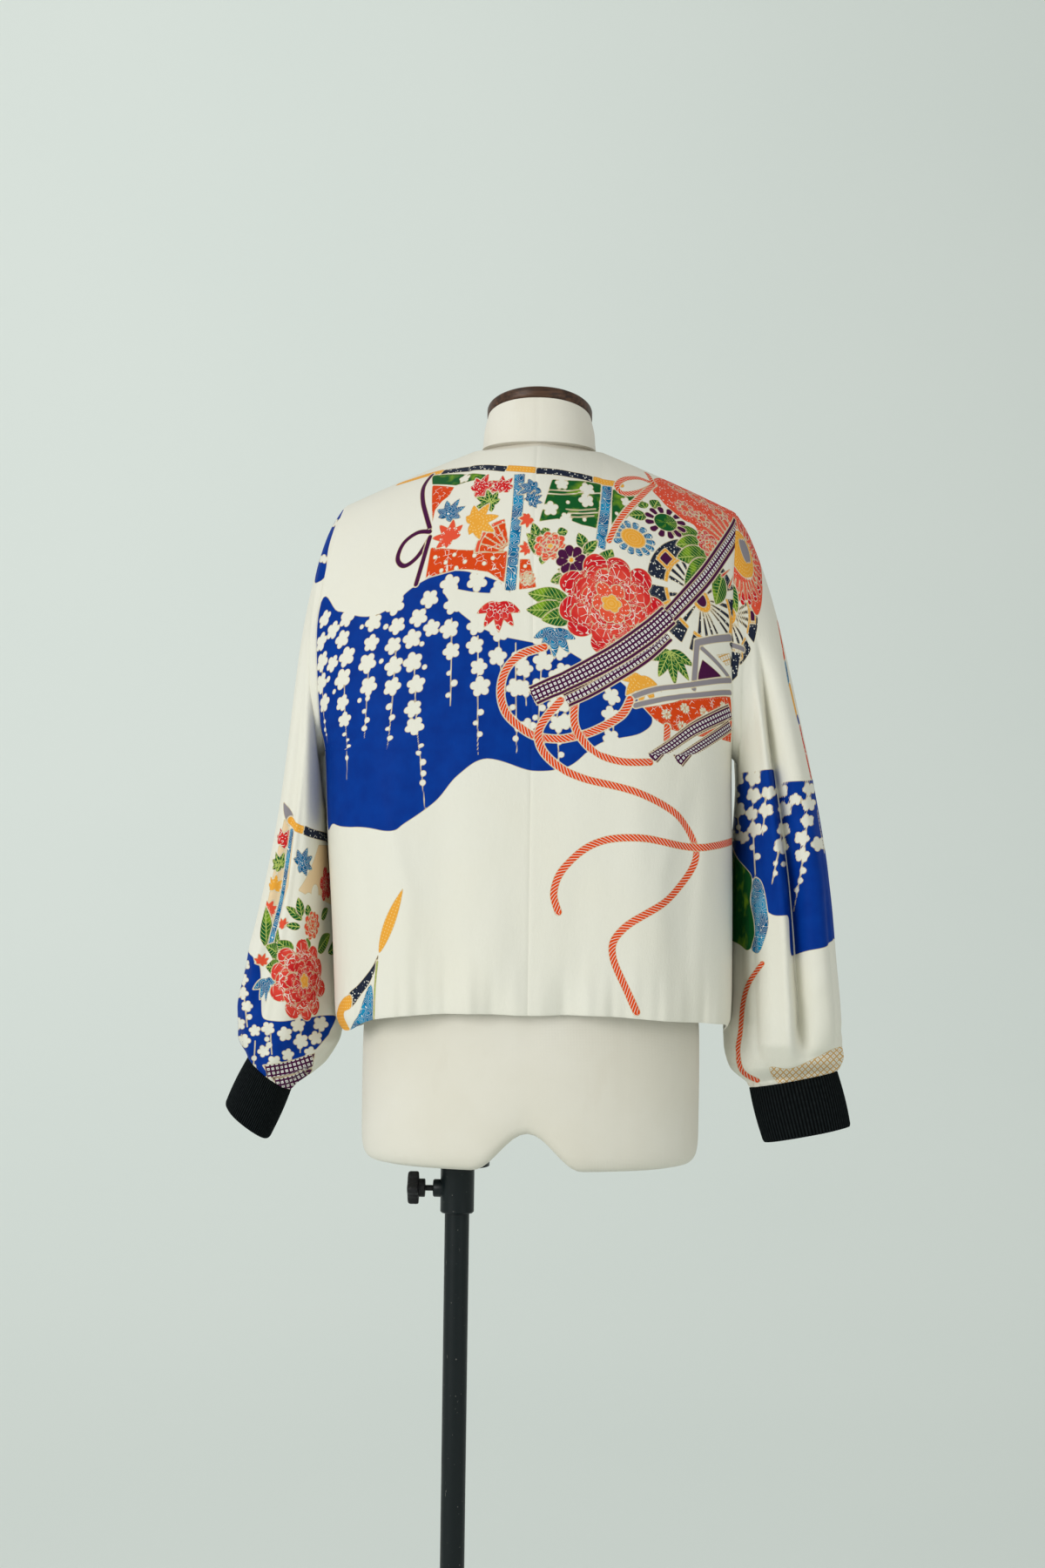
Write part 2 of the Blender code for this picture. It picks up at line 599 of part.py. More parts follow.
def cuff_ring(side, down, offsets, angles):
    """One ring of a cuff: offsets are added to its half sizes, point by point."""
    size = CUFF[side]
    centre = np.array(size["top"]) * (1 - down) + np.array(size["foot"]) * down
    half = size["half"][0] * (1 - down) + size["half"][1] * down + offsets
    deep = size["depth"][0] * (1 - down) + size["depth"][1] * down + offsets
    across = np.array([size["across"][0], 0, size["across"][1]])
    return (centre + across * (half * np.cos(angles))[:, None]
            - np.array([0, 1, 0]) * (deep * np.sin(angles))[:, None])


def build_cuff(side, name):
    """A ribbed tube: the ribs are raised in the outer points over a plain inside."""
    count = CUFF_RIBS * 2
    angles = np.arange(count) * 2 * math.pi / count
    ribs = np.where(np.arange(count) % 2 == 0, 0.0, -RIB_HEIGHT)
    size = CUFF[side]
    top = SEAM_GAP / math.dist(size["top"], size["foot"])
    downs = (top, 1.0)
    rings = [cuff_ring(side, d, CUFF_WALL / 2 + ribs, angles) for d in downs]
    rings += [cuff_ring(side, d, np.full(count, -CUFF_WALL / 2), angles)
              for d in reversed(downs)]
    faces = []
    for k in range(len(rings)):
        low, high = k * count, (k + 1) % len(rings) * count
        for j in range(count):
            n = (j + 1) % count
            faces.append((low + j, low + n, high + n, high + j))
    mesh_out(add_mesh(name, np.concatenate(rings), faces, "rib", math.radians(70)))


def crotch_lift(x, z):
    arch = np.where(np.abs(x) < CROTCH_HALF, 0.5 + 0.5 * np.cos(math.pi * x / CROTCH_HALF), 0)
    return CROTCH_HEIGHT * arch * np.clip(1 - (z - STUB_Z) / CROTCH_FADE, 0, 1)


def form_ring(z_side, z_back, z_front, half, back, front):
    """A ring of the form, kept inside the jacket by the form's ease."""
    turn_by = np.arange(FORM_COLUMNS) * 2 * math.pi / FORM_COLUMNS
    wide = np.sin(turn_by)
    deep = np.cos(turn_by)
    x = half * np.sign(wide) * np.abs(wide) ** (2 / FORM_POWER)
    far = np.abs(deep) ** (2 / FORM_POWER)
    y = np.where(deep > 0, -back * far, front * far)
    z = np.where(deep > 0, z_side + (z_back - z_side) * far, z_side + (z_front - z_side) * far)
    if z_side < NECK_SIDE_Z and z_side > UNDERARM_Z:
        for i in range(FORM_COLUMNS):
            side, face = (RIGHT if x[i] >= 0 else LEFT), (BACK if y[i] < 0 else FRONT)
            z[i] = min(z[i], shoulder_z(x[i]) - FORM_EASE)
            at_x, at_z = x[i:i + 1], z[i:i + 1] + FORM_EASE
            room = (body_y(side, face, at_x, at_z) + folds_at(face, at_x, at_z))[0] - FORM_EASE
            y[i] = face * min(abs(y[i]), max(room, 0.004))
    z = z + crotch_lift(x, z)
    return np.stack([x, y, z], axis=-1)


def build_form():
    """The covered torso with two thigh stubs and a bore for the pole."""
    rings = [form_ring(*row) for row in FORM]
    n = FORM_COLUMNS
    faces = []
    for k in range(len(rings) - 1):
        for j in range(n):
            m = (j + 1) % n
            faces.append((k * n + j, k * n + m, (k + 1) * n + m, (k + 1) * n + j))
    half = n // 2
    for j in range(half // 2):
        right = (j, half - j, half - j - 1, j + 1)
        left = ((n - j) % n, n - j - 1, half + j + 1, half + j)
        for quad in (right, left):
            faces.append(tuple(dict.fromkeys(quad)))
    top = (len(rings) - 1) * n
    faces.append(tuple(top + j for j in range(n)))
    form = add_mesh("dress_form", np.concatenate(rings), faces, "linen", math.radians(40))
    mesh_out(form)
    bore = cylinder("pole_bore_cutter", BORE_R, STUB_Z - 0.02, BORE_TOP, "linen", 24)
    bore.hide_render = True
    bore.display_type = "WIRE"
    cut = form.modifiers.new("pole_bore", "BOOLEAN")
    cut.object = bore
    cut.operation = "DIFFERENCE"
    cut.solver = "EXACT"


def mesh_out(obj):
    """Turns the faces of a closed mesh outward."""
    work = bmesh.new()
    work.from_mesh(obj.data)
    bmesh.ops.recalc_face_normals(work, faces=work.faces)
    work.to_mesh(obj.data)
    work.free()


def build_neck_cap():
    """The slanted oval cap: side wall, rounded edge and a slightly domed top."""
    levels = (
        # rise above the neck's top, inset from the full oval
        (TOUCH * 1.1, 0.0004), (CAP_THICK - CAP_EDGE, 0.0), (CAP_THICK - CAP_EDGE * 0.3, CAP_EDGE * 0.3),
        (CAP_THICK, CAP_EDGE), (CAP_THICK + 0.0010, 0.022),
    )
    n = 40
    angles = np.arange(n) * 2 * math.pi / n
    points, faces = [], []
    for rise, inset in levels:
        x = (CAP_HALF - inset) * np.cos(angles)
        y = (CAP_DEPTH - inset) * np.sin(angles)
        points.append(np.stack([x, y, CAP_MID_Z + rise - CAP_TILT * y], axis=-1))
    for k in range(len(levels) - 1):
        for j in range(n):
            m = (j + 1) % n
            faces.append((k * n + j, k * n + m, (k + 1) * n + m, (k + 1) * n + j))
    faces.append(tuple(reversed(range(n))))
    faces.append(tuple((len(levels) - 1) * n + j for j in range(n)))
    cap = add_mesh("neck_cap", np.concatenate(points), faces, "wood", math.radians(35))
    mesh_out(cap)


def cylinder(name, radius, low, high, finish, sides=32):
    """An upright cylinder on the pole's axis."""
    mesh = bpy.data.meshes.new(name)
    work = bmesh.new()
    bmesh.ops.create_cone(work, cap_ends=True, segments=sides, radius1=radius, radius2=radius,
                          depth=high - low)
    bmesh.ops.translate(work, verts=work.verts, vec=(0, 0, (low + high) / 2))
    work.to_mesh(mesh)
    work.free()
    obj = bpy.data.objects.new(name, mesh)
    bpy.context.scene.collection.objects.link(obj)
    obj.location.x = POLE_X
    mesh.materials.append(material(finish))
    mesh.shade_smooth()
    mesh.set_sharp_from_angle(angle=math.radians(40))
    return obj


def turned(name, profile, finish, sides=32):
    """A ring turned about the pole's axis from a closed outline of (radius, height)."""
    n = len(profile)
    points, faces = [], []
    for i in range(sides):
        a = 2 * math.pi * i / sides
        points += [(r * math.cos(a), r * math.sin(a), z) for r, z in profile]
        m = (i + 1) % sides
        for k in range(n):
            q = (k + 1) % n
            faces.append((i * n + k, i * n + q, m * n + q, m * n + k))
    obj = add_mesh(name, points, faces, finish, math.radians(40))
    mesh_out(obj)
    obj.location.x = POLE_X
    return obj


def build_stand():
    """Base plate, hub, pole, and the flanged socket with its boss."""
    chamfer = 0.002
    plate = cylinder("base_plate", BASE_R, 0, BASE_THICK, "black_steel", 64)
    bevel = plate.modifiers.new("edge", "BEVEL")
    bevel.width = chamfer
    bevel.segments = 2
    bevel.limit_method = "ANGLE"
    plate.location.x = 0
    cylinder("pole", POLE_R, BASE_THICK + TOUCH, POLE_TOP, "black_steel", 32)
    hub_bottom = BASE_THICK + TOUCH
    turned("base_hub", (
        (POLE_R + TOUCH, hub_bottom), (HUB_R + 0.012, hub_bottom), (HUB_R + 0.012, 0.0125),
        (HUB_R, 0.0165), (HUB_R, HUB_TOP - chamfer), (HUB_R - chamfer, HUB_TOP),
        (POLE_R + TOUCH, HUB_TOP)), "black_steel")
    flange_top = STUB_Z - TOUCH
    flange_low = flange_top - FLANGE_THICK
    foot = STUB_Z - FLANGE_THICK - SOCKET_LENGTH
    socket = turned("clamp_socket", (
        (BORE_R, flange_top), (FLANGE_R, flange_top), (FLANGE_R, flange_low),
        (SOCKET_R, flange_low - 0.002), (SOCKET_R, foot + 0.001), (SOCKET_R - 0.001, foot),
        (BORE_R, foot)), "black_steel")
    boss = across_cylinder("boss_shape", BOSS_R, SOCKET_R - 0.003, SOCKET_R + BOSS_LENGTH, 20)
    drill = across_cylinder("stem_drill", STEM_BORE_R, POLE_R, SOCKET_R + 0.02, 16)
    for operation, tool in (("UNION", boss), ("DIFFERENCE", drill)):
        step = socket.modifiers.new(tool.name, "BOOLEAN")
        step.operation = operation
        step.object = tool
        step.solver = "EXACT"
        tool.hide_render = True
        tool.display_type = "WIRE"


def across_cylinder(name, radius, near, far, sides):
    """A level cylinder that points from the pole's axis to the wearer's left."""
    obj = cylinder(name, radius, near, far, "black_steel", sides)
    obj.rotation_euler = (0, -math.pi / 2, 0)
    obj.location.z = KNOB_Z
    return obj


def build_knob():
    """The clamp screw: stem, hub and a grip with four lobes, all on one axis."""
    n = 48
    stations = (
        # distance from the pole's axis, radius, and how much of the lobes shows
        (POLE_R + 0.0004, STEM_R - 0.0006, 0), (POLE_R + 0.0012, STEM_R, 0),
        (SOCKET_R + BOSS_LENGTH + 0.0085, STEM_R, 0),
        (SOCKET_R + BOSS_LENGTH + 0.0085, KNOB_HUB_R, 0),
        (SOCKET_R + BOSS_LENGTH + 0.0148, KNOB_HUB_R, 0),
        (SOCKET_R + BOSS_LENGTH + 0.0150, KNOB_R - 0.001, 1),
        (SOCKET_R + BOSS_LENGTH + 0.0160, KNOB_R, 1),
        (SOCKET_R + BOSS_LENGTH + 0.0145 + KNOB_THICK - 0.002, KNOB_R, 1),
        (SOCKET_R + BOSS_LENGTH + 0.0145 + KNOB_THICK, KNOB_R - 0.0025, 1),
    )
    angles = np.arange(n) * 2 * math.pi / n
    lobes = np.maximum(np.cos(KNOB_LOBES * angles), -0.5)
    points, faces = [], []
    for away, radius, shows in stations:
        r = radius + shows * KNOB_LOBE * (lobes - 0.35)
        points.append(np.stack([np.full(n, POLE_X - away), r * np.cos(angles),
                                KNOB_Z + r * np.sin(angles)], axis=-1))
    for k in range(len(stations) - 1):
        for j in range(n):
            m = (j + 1) % n
            faces.append((k * n + j, k * n + m, (k + 1) * n + m, (k + 1) * n + j))
    faces.append(tuple(range(n)))
    faces.append(tuple((len(stations) - 1) * n + j for j in range(n)))
    knob = add_mesh("clamp_knob", np.concatenate(points), faces, "black_plastic",
                    math.radians(40))
    mesh_out(knob)


def main():
    clear_scene()
    build_jacket()
    build_cuff(LEFT, "cuff_left")
    build_cuff(RIGHT, "cuff_right")
    build_form()
    build_neck_cap()
    build_stand()
    build_knob()


main()
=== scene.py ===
import math

import bmesh
import bpy
import numpy as np
from mathutils import Matrix, Vector


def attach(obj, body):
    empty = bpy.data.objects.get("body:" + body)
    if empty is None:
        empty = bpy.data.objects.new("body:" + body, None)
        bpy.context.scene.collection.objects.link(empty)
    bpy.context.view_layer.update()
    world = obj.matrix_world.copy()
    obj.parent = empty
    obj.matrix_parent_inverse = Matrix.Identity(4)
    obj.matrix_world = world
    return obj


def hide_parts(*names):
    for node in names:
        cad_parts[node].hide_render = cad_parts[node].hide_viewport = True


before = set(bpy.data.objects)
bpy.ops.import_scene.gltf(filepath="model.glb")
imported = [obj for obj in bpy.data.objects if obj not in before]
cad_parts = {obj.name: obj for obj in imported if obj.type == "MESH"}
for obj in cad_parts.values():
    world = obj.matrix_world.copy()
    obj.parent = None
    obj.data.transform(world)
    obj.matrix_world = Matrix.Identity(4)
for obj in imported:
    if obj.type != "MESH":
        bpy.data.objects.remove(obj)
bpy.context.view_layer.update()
print("frame loaded")

left, right = -1, 1
back, front = -1, 1
sideNames = {left: "left", right: "right"}
faceNames = {back: "back", front: "front"}
scene = bpy.context.scene

# Camera: place, aim, roll in degrees, lens and sensor in millimetres, and the picture in pixels
view = {"place": (0.10, -3.15, 1.089), "aim": (-0.0126, 0.0, 1.089), "roll": 0.8, "lens": 70.0,
        "sensor": 36, "wide": 1200, "tall": 1800, "farthest": 60}

# Jacket body: sections by height, half widths of each side, depths behind and before; the wall's thickness
body = {
    "z": (0.838, 0.852, 0.880, 0.950, 1.040, 1.120, 1.160, 1.200, 1.260, 1.370, 1.460),
    left: (.1965, .2010, .2025, .2060, .2120, .2160, .2290, .2380, .2430, .2360, .2300),
    right: (.1990, .2045, .2055, .2050, .2035, .2020, .2130, .2200, .2240, .2260, .2240),
    "back": (.118, .126, .129, .131, .131, .130, .129, .128, .127, .126, .126),
    "front": (.119, .126, .128, .131, .136, .139, .139, .136, .130, .118, .110),
    "power": 2.7, "underarm": 1.120, "neckHalf": 0.0655, "neckBack": 0.066,
    "neckSide": 1.431, "neckFront": 1.335, "slope": 0.40, "bend": 0.25, "nape": 0.0230,
    "napePower": 1.4, "roundBack": 0.150, "roundFront": 0.170, "hemSide": 0.838,
    "hemLiftBack": 0.021, "hemLiftFront": 0.012, "neckShare": 1 / 3,
    "hemDrop": {left: 0.013, right: 0.0}, "hemDropAt": 0.77, "hemDropHalf": 0.14,
    "hemWave": (0.002, 7.0, 0.6), "pucker": 0.0022, "puckerWaves": 4, "waveReach": 0.10, "puckerReach": 0.16,
    "thick": 0.0016,
}
armhole = {"up": (0, .15, .45, .70, .90, 1), left: (.2160, .2180, .2205, .2140, .2045, .1990),
           right: (.2020, .2010, .1990, .2000, .2020, .2035), "frontScoop": 0.009}

# Creases of the body: x and z at the top, x and z at the end, half width, height
bodyCreases = {
    back: (
        (-0.150, 1.30, -0.135, 0.84, 0.022, 0.0047), (-0.095, 1.20, -0.082, 0.84, 0.021, -0.0036),
        (-0.030, 1.02, -0.040, 0.84, 0.018, 0.0025), (0.052, 1.06, 0.046, 0.84, 0.020, -0.0028),
        (0.100, 1.24, 0.118, 0.84, 0.022, 0.0040), (0.155, 1.30, 0.160, 0.84, 0.018, -0.0040),
        (-0.178, 1.16, -0.120, 0.98, 0.010, 0.0016), (-0.186, 1.12, -0.150, 0.90, 0.009, -0.0014),
        (0.176, 1.17, 0.130, 1.00, 0.010, 0.0016), (0.180, 1.12, 0.165, 0.90, 0.009, 0.0016),
        (-0.010, 0.94, -0.012, 0.84, 0.009, 0.0010), (0.030, 0.92, 0.036, 0.84, 0.008, -0.0010),
        (-0.060, 0.93, -0.066, 0.84, 0.010, 0.0014), (-0.118, 0.95, -0.108, 0.84, 0.009, -0.0014),
        (0.084, 0.93, 0.080, 0.84, 0.010, 0.0014), (0.140, 0.96, 0.142, 0.84, 0.009, 0.0014),
        (-0.165, 0.95, -0.172, 0.84, 0.010, -0.0016), (0.010, 1.20, 0.004, 1.02, 0.030, -0.0022),
    ),
    front: (
        (-0.140, 1.30, -0.128, 0.84, 0.022, 0.0045), (-0.080, 1.16, -0.072, 0.84, 0.020, -0.0035),
        (0.075, 1.18, 0.070, 0.84, 0.020, -0.0035), (0.138, 1.30, 0.130, 0.84, 0.022, 0.0045),
        (-0.176, 1.15, -0.130, 0.98, 0.010, 0.0016), (0.172, 1.16, 0.130, 0.99, 0.010, 0.0016),
    ),
}
# Puckers where the hem is drawn in: place along the hem, half width, share of the pucker height
hemPuckers = ((0.05, 0.030, 0.8), (0.13, 0.022, -0.9), (0.21, 0.026, 1.3), (0.30, 0.020, -1.2),
              (0.38, 0.024, 0.9), (0.47, 0.022, -1.1), (0.56, 0.026, 1.4), (0.66, 0.020, -1.2),
              (0.74, 0.022, 1.0), (0.83, 0.020, -1.0), (0.91, 0.022, 0.8))

# Sleeves, ring by ring: outer line, inner line, half depth, middle and lean
sleeveRings = {
    left: (
        (0.1990, 1.3717, 0.2160, 1.120, 0.070, 0.000, 0.000),
        (0.2110, 1.3520, 0.2235, 1.108, 0.073, 0.006, 0.006),
        (0.2235, 1.3150, 0.2220, 1.085, 0.074, 0.011, 0.016),
        (0.2330, 1.2780, 0.2170, 1.055, 0.074, 0.015, 0.026),
        (0.2405, 1.2330, 0.2120, 1.026, 0.074, 0.018, 0.034),
        (0.2460, 1.1880, 0.2080, 0.996, 0.074, 0.020, 0.038),
        (0.2520, 1.1330, 0.2050, 0.965, 0.074, 0.021, 0.040),
        (0.2605, 1.0640, 0.2030, 0.932, 0.074, 0.022, 0.040),
        (0.2730, 0.9940, 0.2010, 0.900, 0.073, 0.022, 0.038),
        (0.2845, 0.9430, 0.2000, 0.870, 0.072, 0.022, 0.034),
        (0.2960, 0.8920, 0.1995, 0.846, 0.070, 0.022, 0.028),
        (0.3040, 0.8530, 0.2020, 0.824, 0.067, 0.022, 0.020),
        (0.3035, 0.8240, 0.2160, 0.799, 0.058, 0.022, 0.010),
        (0.2965, 0.8060, 0.2475, 0.774, 0.045, 0.022, 0.002),
        (0.2947, 0.8013, 0.2513, 0.7677, 0.043, 0.022, 0.000),
    ),
    right: (
        (0.2035, 1.3696, 0.2020, 1.120, 0.070, 0.000, 0.000),
        (0.2155, 1.3500, 0.2100, 1.108, 0.073, 0.006, 0.006),
        (0.2310, 1.3120, 0.2100, 1.085, 0.075, 0.011, 0.016),
        (0.2445, 1.2690, 0.2080, 1.057, 0.076, 0.015, 0.026),
        (0.2580, 1.2150, 0.2060, 1.026, 0.077, 0.018, 0.034),
        (0.2705, 1.1600, 0.2040, 0.996, 0.077, 0.020, 0.038),
        (0.2850, 1.0950, 0.2020, 0.965, 0.076, 0.021, 0.040),
        (0.2980, 1.0260, 0.2010, 0.932, 0.075, 0.022, 0.040),
        (0.3065, 0.9650, 0.2000, 0.900, 0.074, 0.022, 0.038),
        (0.3115, 0.9150, 0.2000, 0.870, 0.073, 0.022, 0.034),
        (0.3170, 0.8660, 0.2000, 0.846, 0.071, 0.022, 0.028),
        (0.3195, 0.8350, 0.2010, 0.820, 0.067, 0.022, 0.020),
        (0.3210, 0.8130, 0.2080, 0.799, 0.054, 0.022, 0.010),
        (0.3175, 0.8010, 0.2262, 0.7830, 0.027, 0.022, 0.002),
        (0.3168, 0.7961, 0.2272, 0.7779, 0.023, 0.022, 0.000),
    ),
}
sleeve = {"clear": 0.0036, "reach": 3.6, "outerTurn": {left: 0.42, right: 0.30},
          "underTurn": {left: 0.35, right: 0.70}, "gathers": 8, "gatherDepth": 0.0022, "gatherAt": 12.6,
          "gatherReach": 0.9, "fine": 21, "fineDepth": 0.0009, "fineAt": 13.3, "fineReach": 0.75}
# Creases of the sleeves: angle, first ring, last ring, half width, height
sleeveCreases = {
    left: ((1.22, 5.0, 12.2, 0.10, 0.0030), (0.72, 6.0, 12.4, 0.10, 0.0024),
           (0.95, 3.0, 12.0, 0.26, -0.0075), (1.60, 4.0, 12.5, 0.24, 0.0050),
           (2.30, 5.0, 12.0, 0.24, -0.0060), (3.90, 4.0, 12.0, 0.26, -0.0070),
           (4.90, 3.0, 12.0, 0.26, 0.0060), (5.60, 5.0, 12.0, 0.22, -0.0055)),
    right: ((1.20, 1.5, 12.2, 0.07, -0.0052), (1.49, 1.8, 12.2, 0.12, 0.0085),
            (0.52, 6.5, 12.2, 0.10, -0.0024), (2.05, 5.5, 12.4, 0.08, -0.0030),
            (0.75, 3.0, 12.0, 0.22, 0.0040), (1.26, 2.0, 12.0, 0.17, -0.0185),
            (1.75, 3.5, 12.0, 0.24, 0.0085), (2.45, 5.0, 12.0, 0.22, -0.0060),
            (3.90, 4.0, 12.0, 0.26, -0.0070), (4.90, 3.0, 12.0, 0.26, 0.0060),
            (5.60, 5.0, 12.0, 0.22, -0.0055)),
}
# Short creases across the sleeves: angle, ring, turn of the crease, half length, half width, height
crossCreases = {
    left: ((1.10, 11.2, 0.35, 0.55, 0.10, 0.0022), (1.70, 11.9, -0.3, 0.50, 0.10, -0.0020),
           (0.60, 9.6, 0.4, 0.50, 0.12, 0.0026), (1.90, 9.2, 0.5, 0.45, 0.12, -0.0026),
           (1.45, 10.3, 0.2, 0.40, 0.10, 0.0016), (2.4, 11.3, -0.2, 0.50, 0.10, 0.0020)),
    right: ((0.70, 11.6, 0.12, 0.55, 0.09, -0.0026), (0.35, 11.0, 0.5, 0.30, 0.09, -0.0024),
            (1.85, 10.9, -0.3, 0.45, 0.12, 0.0020), (1.00, 9.4, 0.5, 0.40, 0.12, 0.0015),
            (2.10, 8.6, 0.4, 0.45, 0.14, -0.0018), (0.55, 7.4, 0.5, 0.40, 0.12, 0.0014)),
}


def through(knots, values, at):
    # a cubic through the rows whose slopes are the harmonic means of its neighbours' rises
    knots, values = np.asarray(knots, float), np.asarray(values, float)
    at = np.clip(np.asarray(at, float), knots[0], knots[-1])
    step = np.diff(knots)
    rise = np.diff(values) / step
    slope = np.zeros_like(values)
    same = rise[:-1] * rise[1:] > 0
    slope[1:-1] = np.where(same, 2 * rise[:-1] * rise[1:] / np.where(same, rise[:-1] + rise[1:], 1), 0)
    slope[0], slope[-1] = rise[0], rise[-1]
    i = np.clip(np.searchsorted(knots, at, side="right") - 1, 0, len(step) - 1)
    t = (at - knots[i]) / step[i]
    return (values[i] * (1 + 2 * t) * (1 - t) ** 2 + values[i + 1] * t * t * (3 - 2 * t)
            + step[i] * (slope[i] * t * (1 - t) ** 2 - slope[i + 1] * t * t * (1 - t)))


def ease(t):
    # three t squared less two t cubed
    t = np.clip(t, 0, 1)
    return t * t * (3 - 2 * t)


def wrapped(angle, turn=2 * math.pi):
    # the angle less whole turns, so that it is at most half a turn either way
    return (angle + turn / 2) % turn - turn / 2


def evenQuarter(aspect, power, count=400):
    # widths at even steps along a quarter of the curve |x|^p + |y|^p = 1
    angle = np.linspace(0, math.pi / 2, count)
    wide, deep = np.sin(angle) ** (2 / power), np.cos(angle) ** (2 / power)
    length = np.concatenate([[0], np.cumsum(np.hypot(np.diff(wide * aspect), np.diff(deep)))])
    return wide, length / length[-1]


quarterWide, quarterStep = evenQuarter(1.6, body["power"])


def quarterShare(u):
    # width share at a step along the quarter curve
    return np.interp(u, quarterStep, quarterWide)


def halfWidth(side, z):
    # half width of the section at a height
    return through(body["z"], body[side], z)


def depthAt(face, z):
    # depth of the section at a height
    return through(body["z"], body[faceNames[face]], z)


def shoulderHeight(x):
    # neck height less slope times x less bend times x squared, plus the nape's power curve
    x = np.abs(x)
    out = np.maximum(x - body["neckHalf"], 0)
    nape = body["nape"] * (1 - np.minimum(x / body["neckHalf"], 1) ** body["napePower"])
    return body["neckSide"] - body["slope"] * out - body["bend"] * out * out + nape


def bodyDepth(side, face, x, z):
    # depth times the curve's share at x, times a quarter ellipse below the shoulder line
    part = 1 - np.clip(np.abs(x) / halfWidth(side, z), 0, 1) ** body["power"]
    drop = body["roundBack"] if face == back else body["roundFront"]
    share = np.clip((shoulderHeight(x) - z) / drop, 0, 1)
    over = np.sqrt(np.maximum(1 - (1 - share) ** 2, 0))
    return depthAt(face, z) * part ** (1 / body["power"]) * over


def creasesAt(face, x, z):
    # a bell curve across each crease's line, growing from its top
    total = np.zeros_like(x)
    for topX, topZ, endX, endZ, half, height in bodyCreases[face]:
        down = np.clip((topZ - z) / (topZ - endZ), 0, 1)
        line = topX + (endX - topX) * down
        total += height * ease(down * 1.6) * np.exp(-((x - line) / half) ** 2)
    return total


def hemSag(side, u):
    # a bell curve where the corner hangs lower
    return body["hemDrop"][side] * np.exp(-((u - body["hemDropAt"]) / body["hemDropHalf"]) ** 2)


def hemHeight(side, face, u):
    # a cubic rise from the side to the middle, a slow wave, less the sag
    lift = (body["hemLiftBack"] if face == back else body["hemLiftFront"]) * (1 - u ** 3)
    height, turns, start = body["hemWave"]
    return body["hemSide"] + lift + height * np.sin(turns * u + start) * u * (1 - u) * 4 - hemSag(side, u)


def topEdge(side, face, u):
    # neckline as a quarter ellipse from above, then the shoulder line
    tip = armhole[side][-1]
    share = body["neckShare"]
    onNeck = np.clip(u / share, 0, 1)
    out = np.clip((u - share) / (1 - share), 0, 1)
    x = np.where(u <= share, body["neckHalf"] * np.sin(onNeck * math.pi / 2),
                 body["neckHalf"] + (tip - body["neckHalf"]) * out)
    if face == back:
        behind = body["neckBack"] * np.cos(onNeck * math.pi / 2)
        part = 1 - (x / halfWidth(side, body["neckSide"])) ** body["power"]
        reach = behind / (depthAt(face, body["neckSide"]) * part ** (1 / body["power"]))
        neck = shoulderHeight(x) - body["roundBack"] * (1 - np.sqrt(np.maximum(1 - reach ** 2, 0)))
    else:
        rise = body["neckSide"] - body["neckFront"]
        neck = body["neckFront"] + rise * np.sin(onNeck * math.pi / 2) ** 1.5
    return x, np.where(u <= share, neck, shoulderHeight(x))


def panelGrid(side, face, columns, lower, upper):
    # rows from hem to shoulder: width from even steps round the section, depth from bodyDepth
    u = np.linspace(0, 1, columns + 1)[None, :]
    lower, upper = np.asarray(lower)[:, None], np.asarray(upper)[1:, None]
    hem = hemHeight(side, face, u)
    lowZ = hem + (body["underarm"] - hem) * lower
    lowX = halfWidth(side, lowZ) * quarterShare(u)
    edgeX, edgeZ = topEdge(side, face, u)
    upZ = body["underarm"] + (edgeZ - body["underarm"]) * upper
    scoop = armhole["frontScoop"] * np.sin(upper * math.pi) if face == front else 0
    seamX = through(armhole["up"], armhole[side], upper) - scoop
    seamZ = body["underarm"] + (edgeZ[:, -1:] - body["underarm"]) * upper
    reach = np.interp(seamX / halfWidth(side, seamZ), quarterWide, quarterStep)
    lowShare = quarterShare(u * reach) / quarterShare(reach)
    blend = upper ** 2
    upX = seamX * ((1 - blend) * lowShare + blend * edgeX / edgeX[:, -1:])
    x, z = np.concatenate([lowX, upX]), np.concatenate([lowZ, upZ])
    y = face * bodyDepth(side, face, x, z)
    rows = np.concatenate([0 * lower, upper])
    y = y + face * creasesAt(face, side * x, z) * (1 - u ** 6) * (1 - rows ** 2)
    hemward = np.concatenate([lower, np.ones_like(upper)])
    wave = np.cos(2 * body["puckerWaves"] * math.pi * u)
    pucker = body["pucker"] * wave * np.exp(-(hemward / body["waveReach"]) ** 2)
    near = np.exp(-(hemward / body["puckerReach"]) ** 2)
    for place, half, height in hemPuckers:
        pucker = pucker + height * body["pucker"] * np.exp(-((u - place) / half) ** 2) * near
    y = y + face * pucker * (1 - u ** 6)
    return np.stack([side * x, y, z], axis=-1)


def sleeveRow(side, ring):
    # each column of the sleeve's table at a ring
    rows = np.array(sleeveRings[side])
    return [through(np.arange(len(rows)), rows[:, k], ring) for k in range(rows.shape[1])]


def ringPoints(side, angle, ring):
    # an oval between the outer and the inner line, leaning forward towards the inner one
    outX, outZ, inX, inZ, half, middle, lean = sleeveRow(side, ring)
    x = (outX + inX) / 2 + (outX - inX) / 2 * np.cos(angle)
    z = (outZ + inZ) / 2 + (outZ - inZ) / 2 * np.cos(angle)
    return np.stack([side * x, middle - half * np.sin(angle) - lean * np.cos(angle), z], axis=-1)


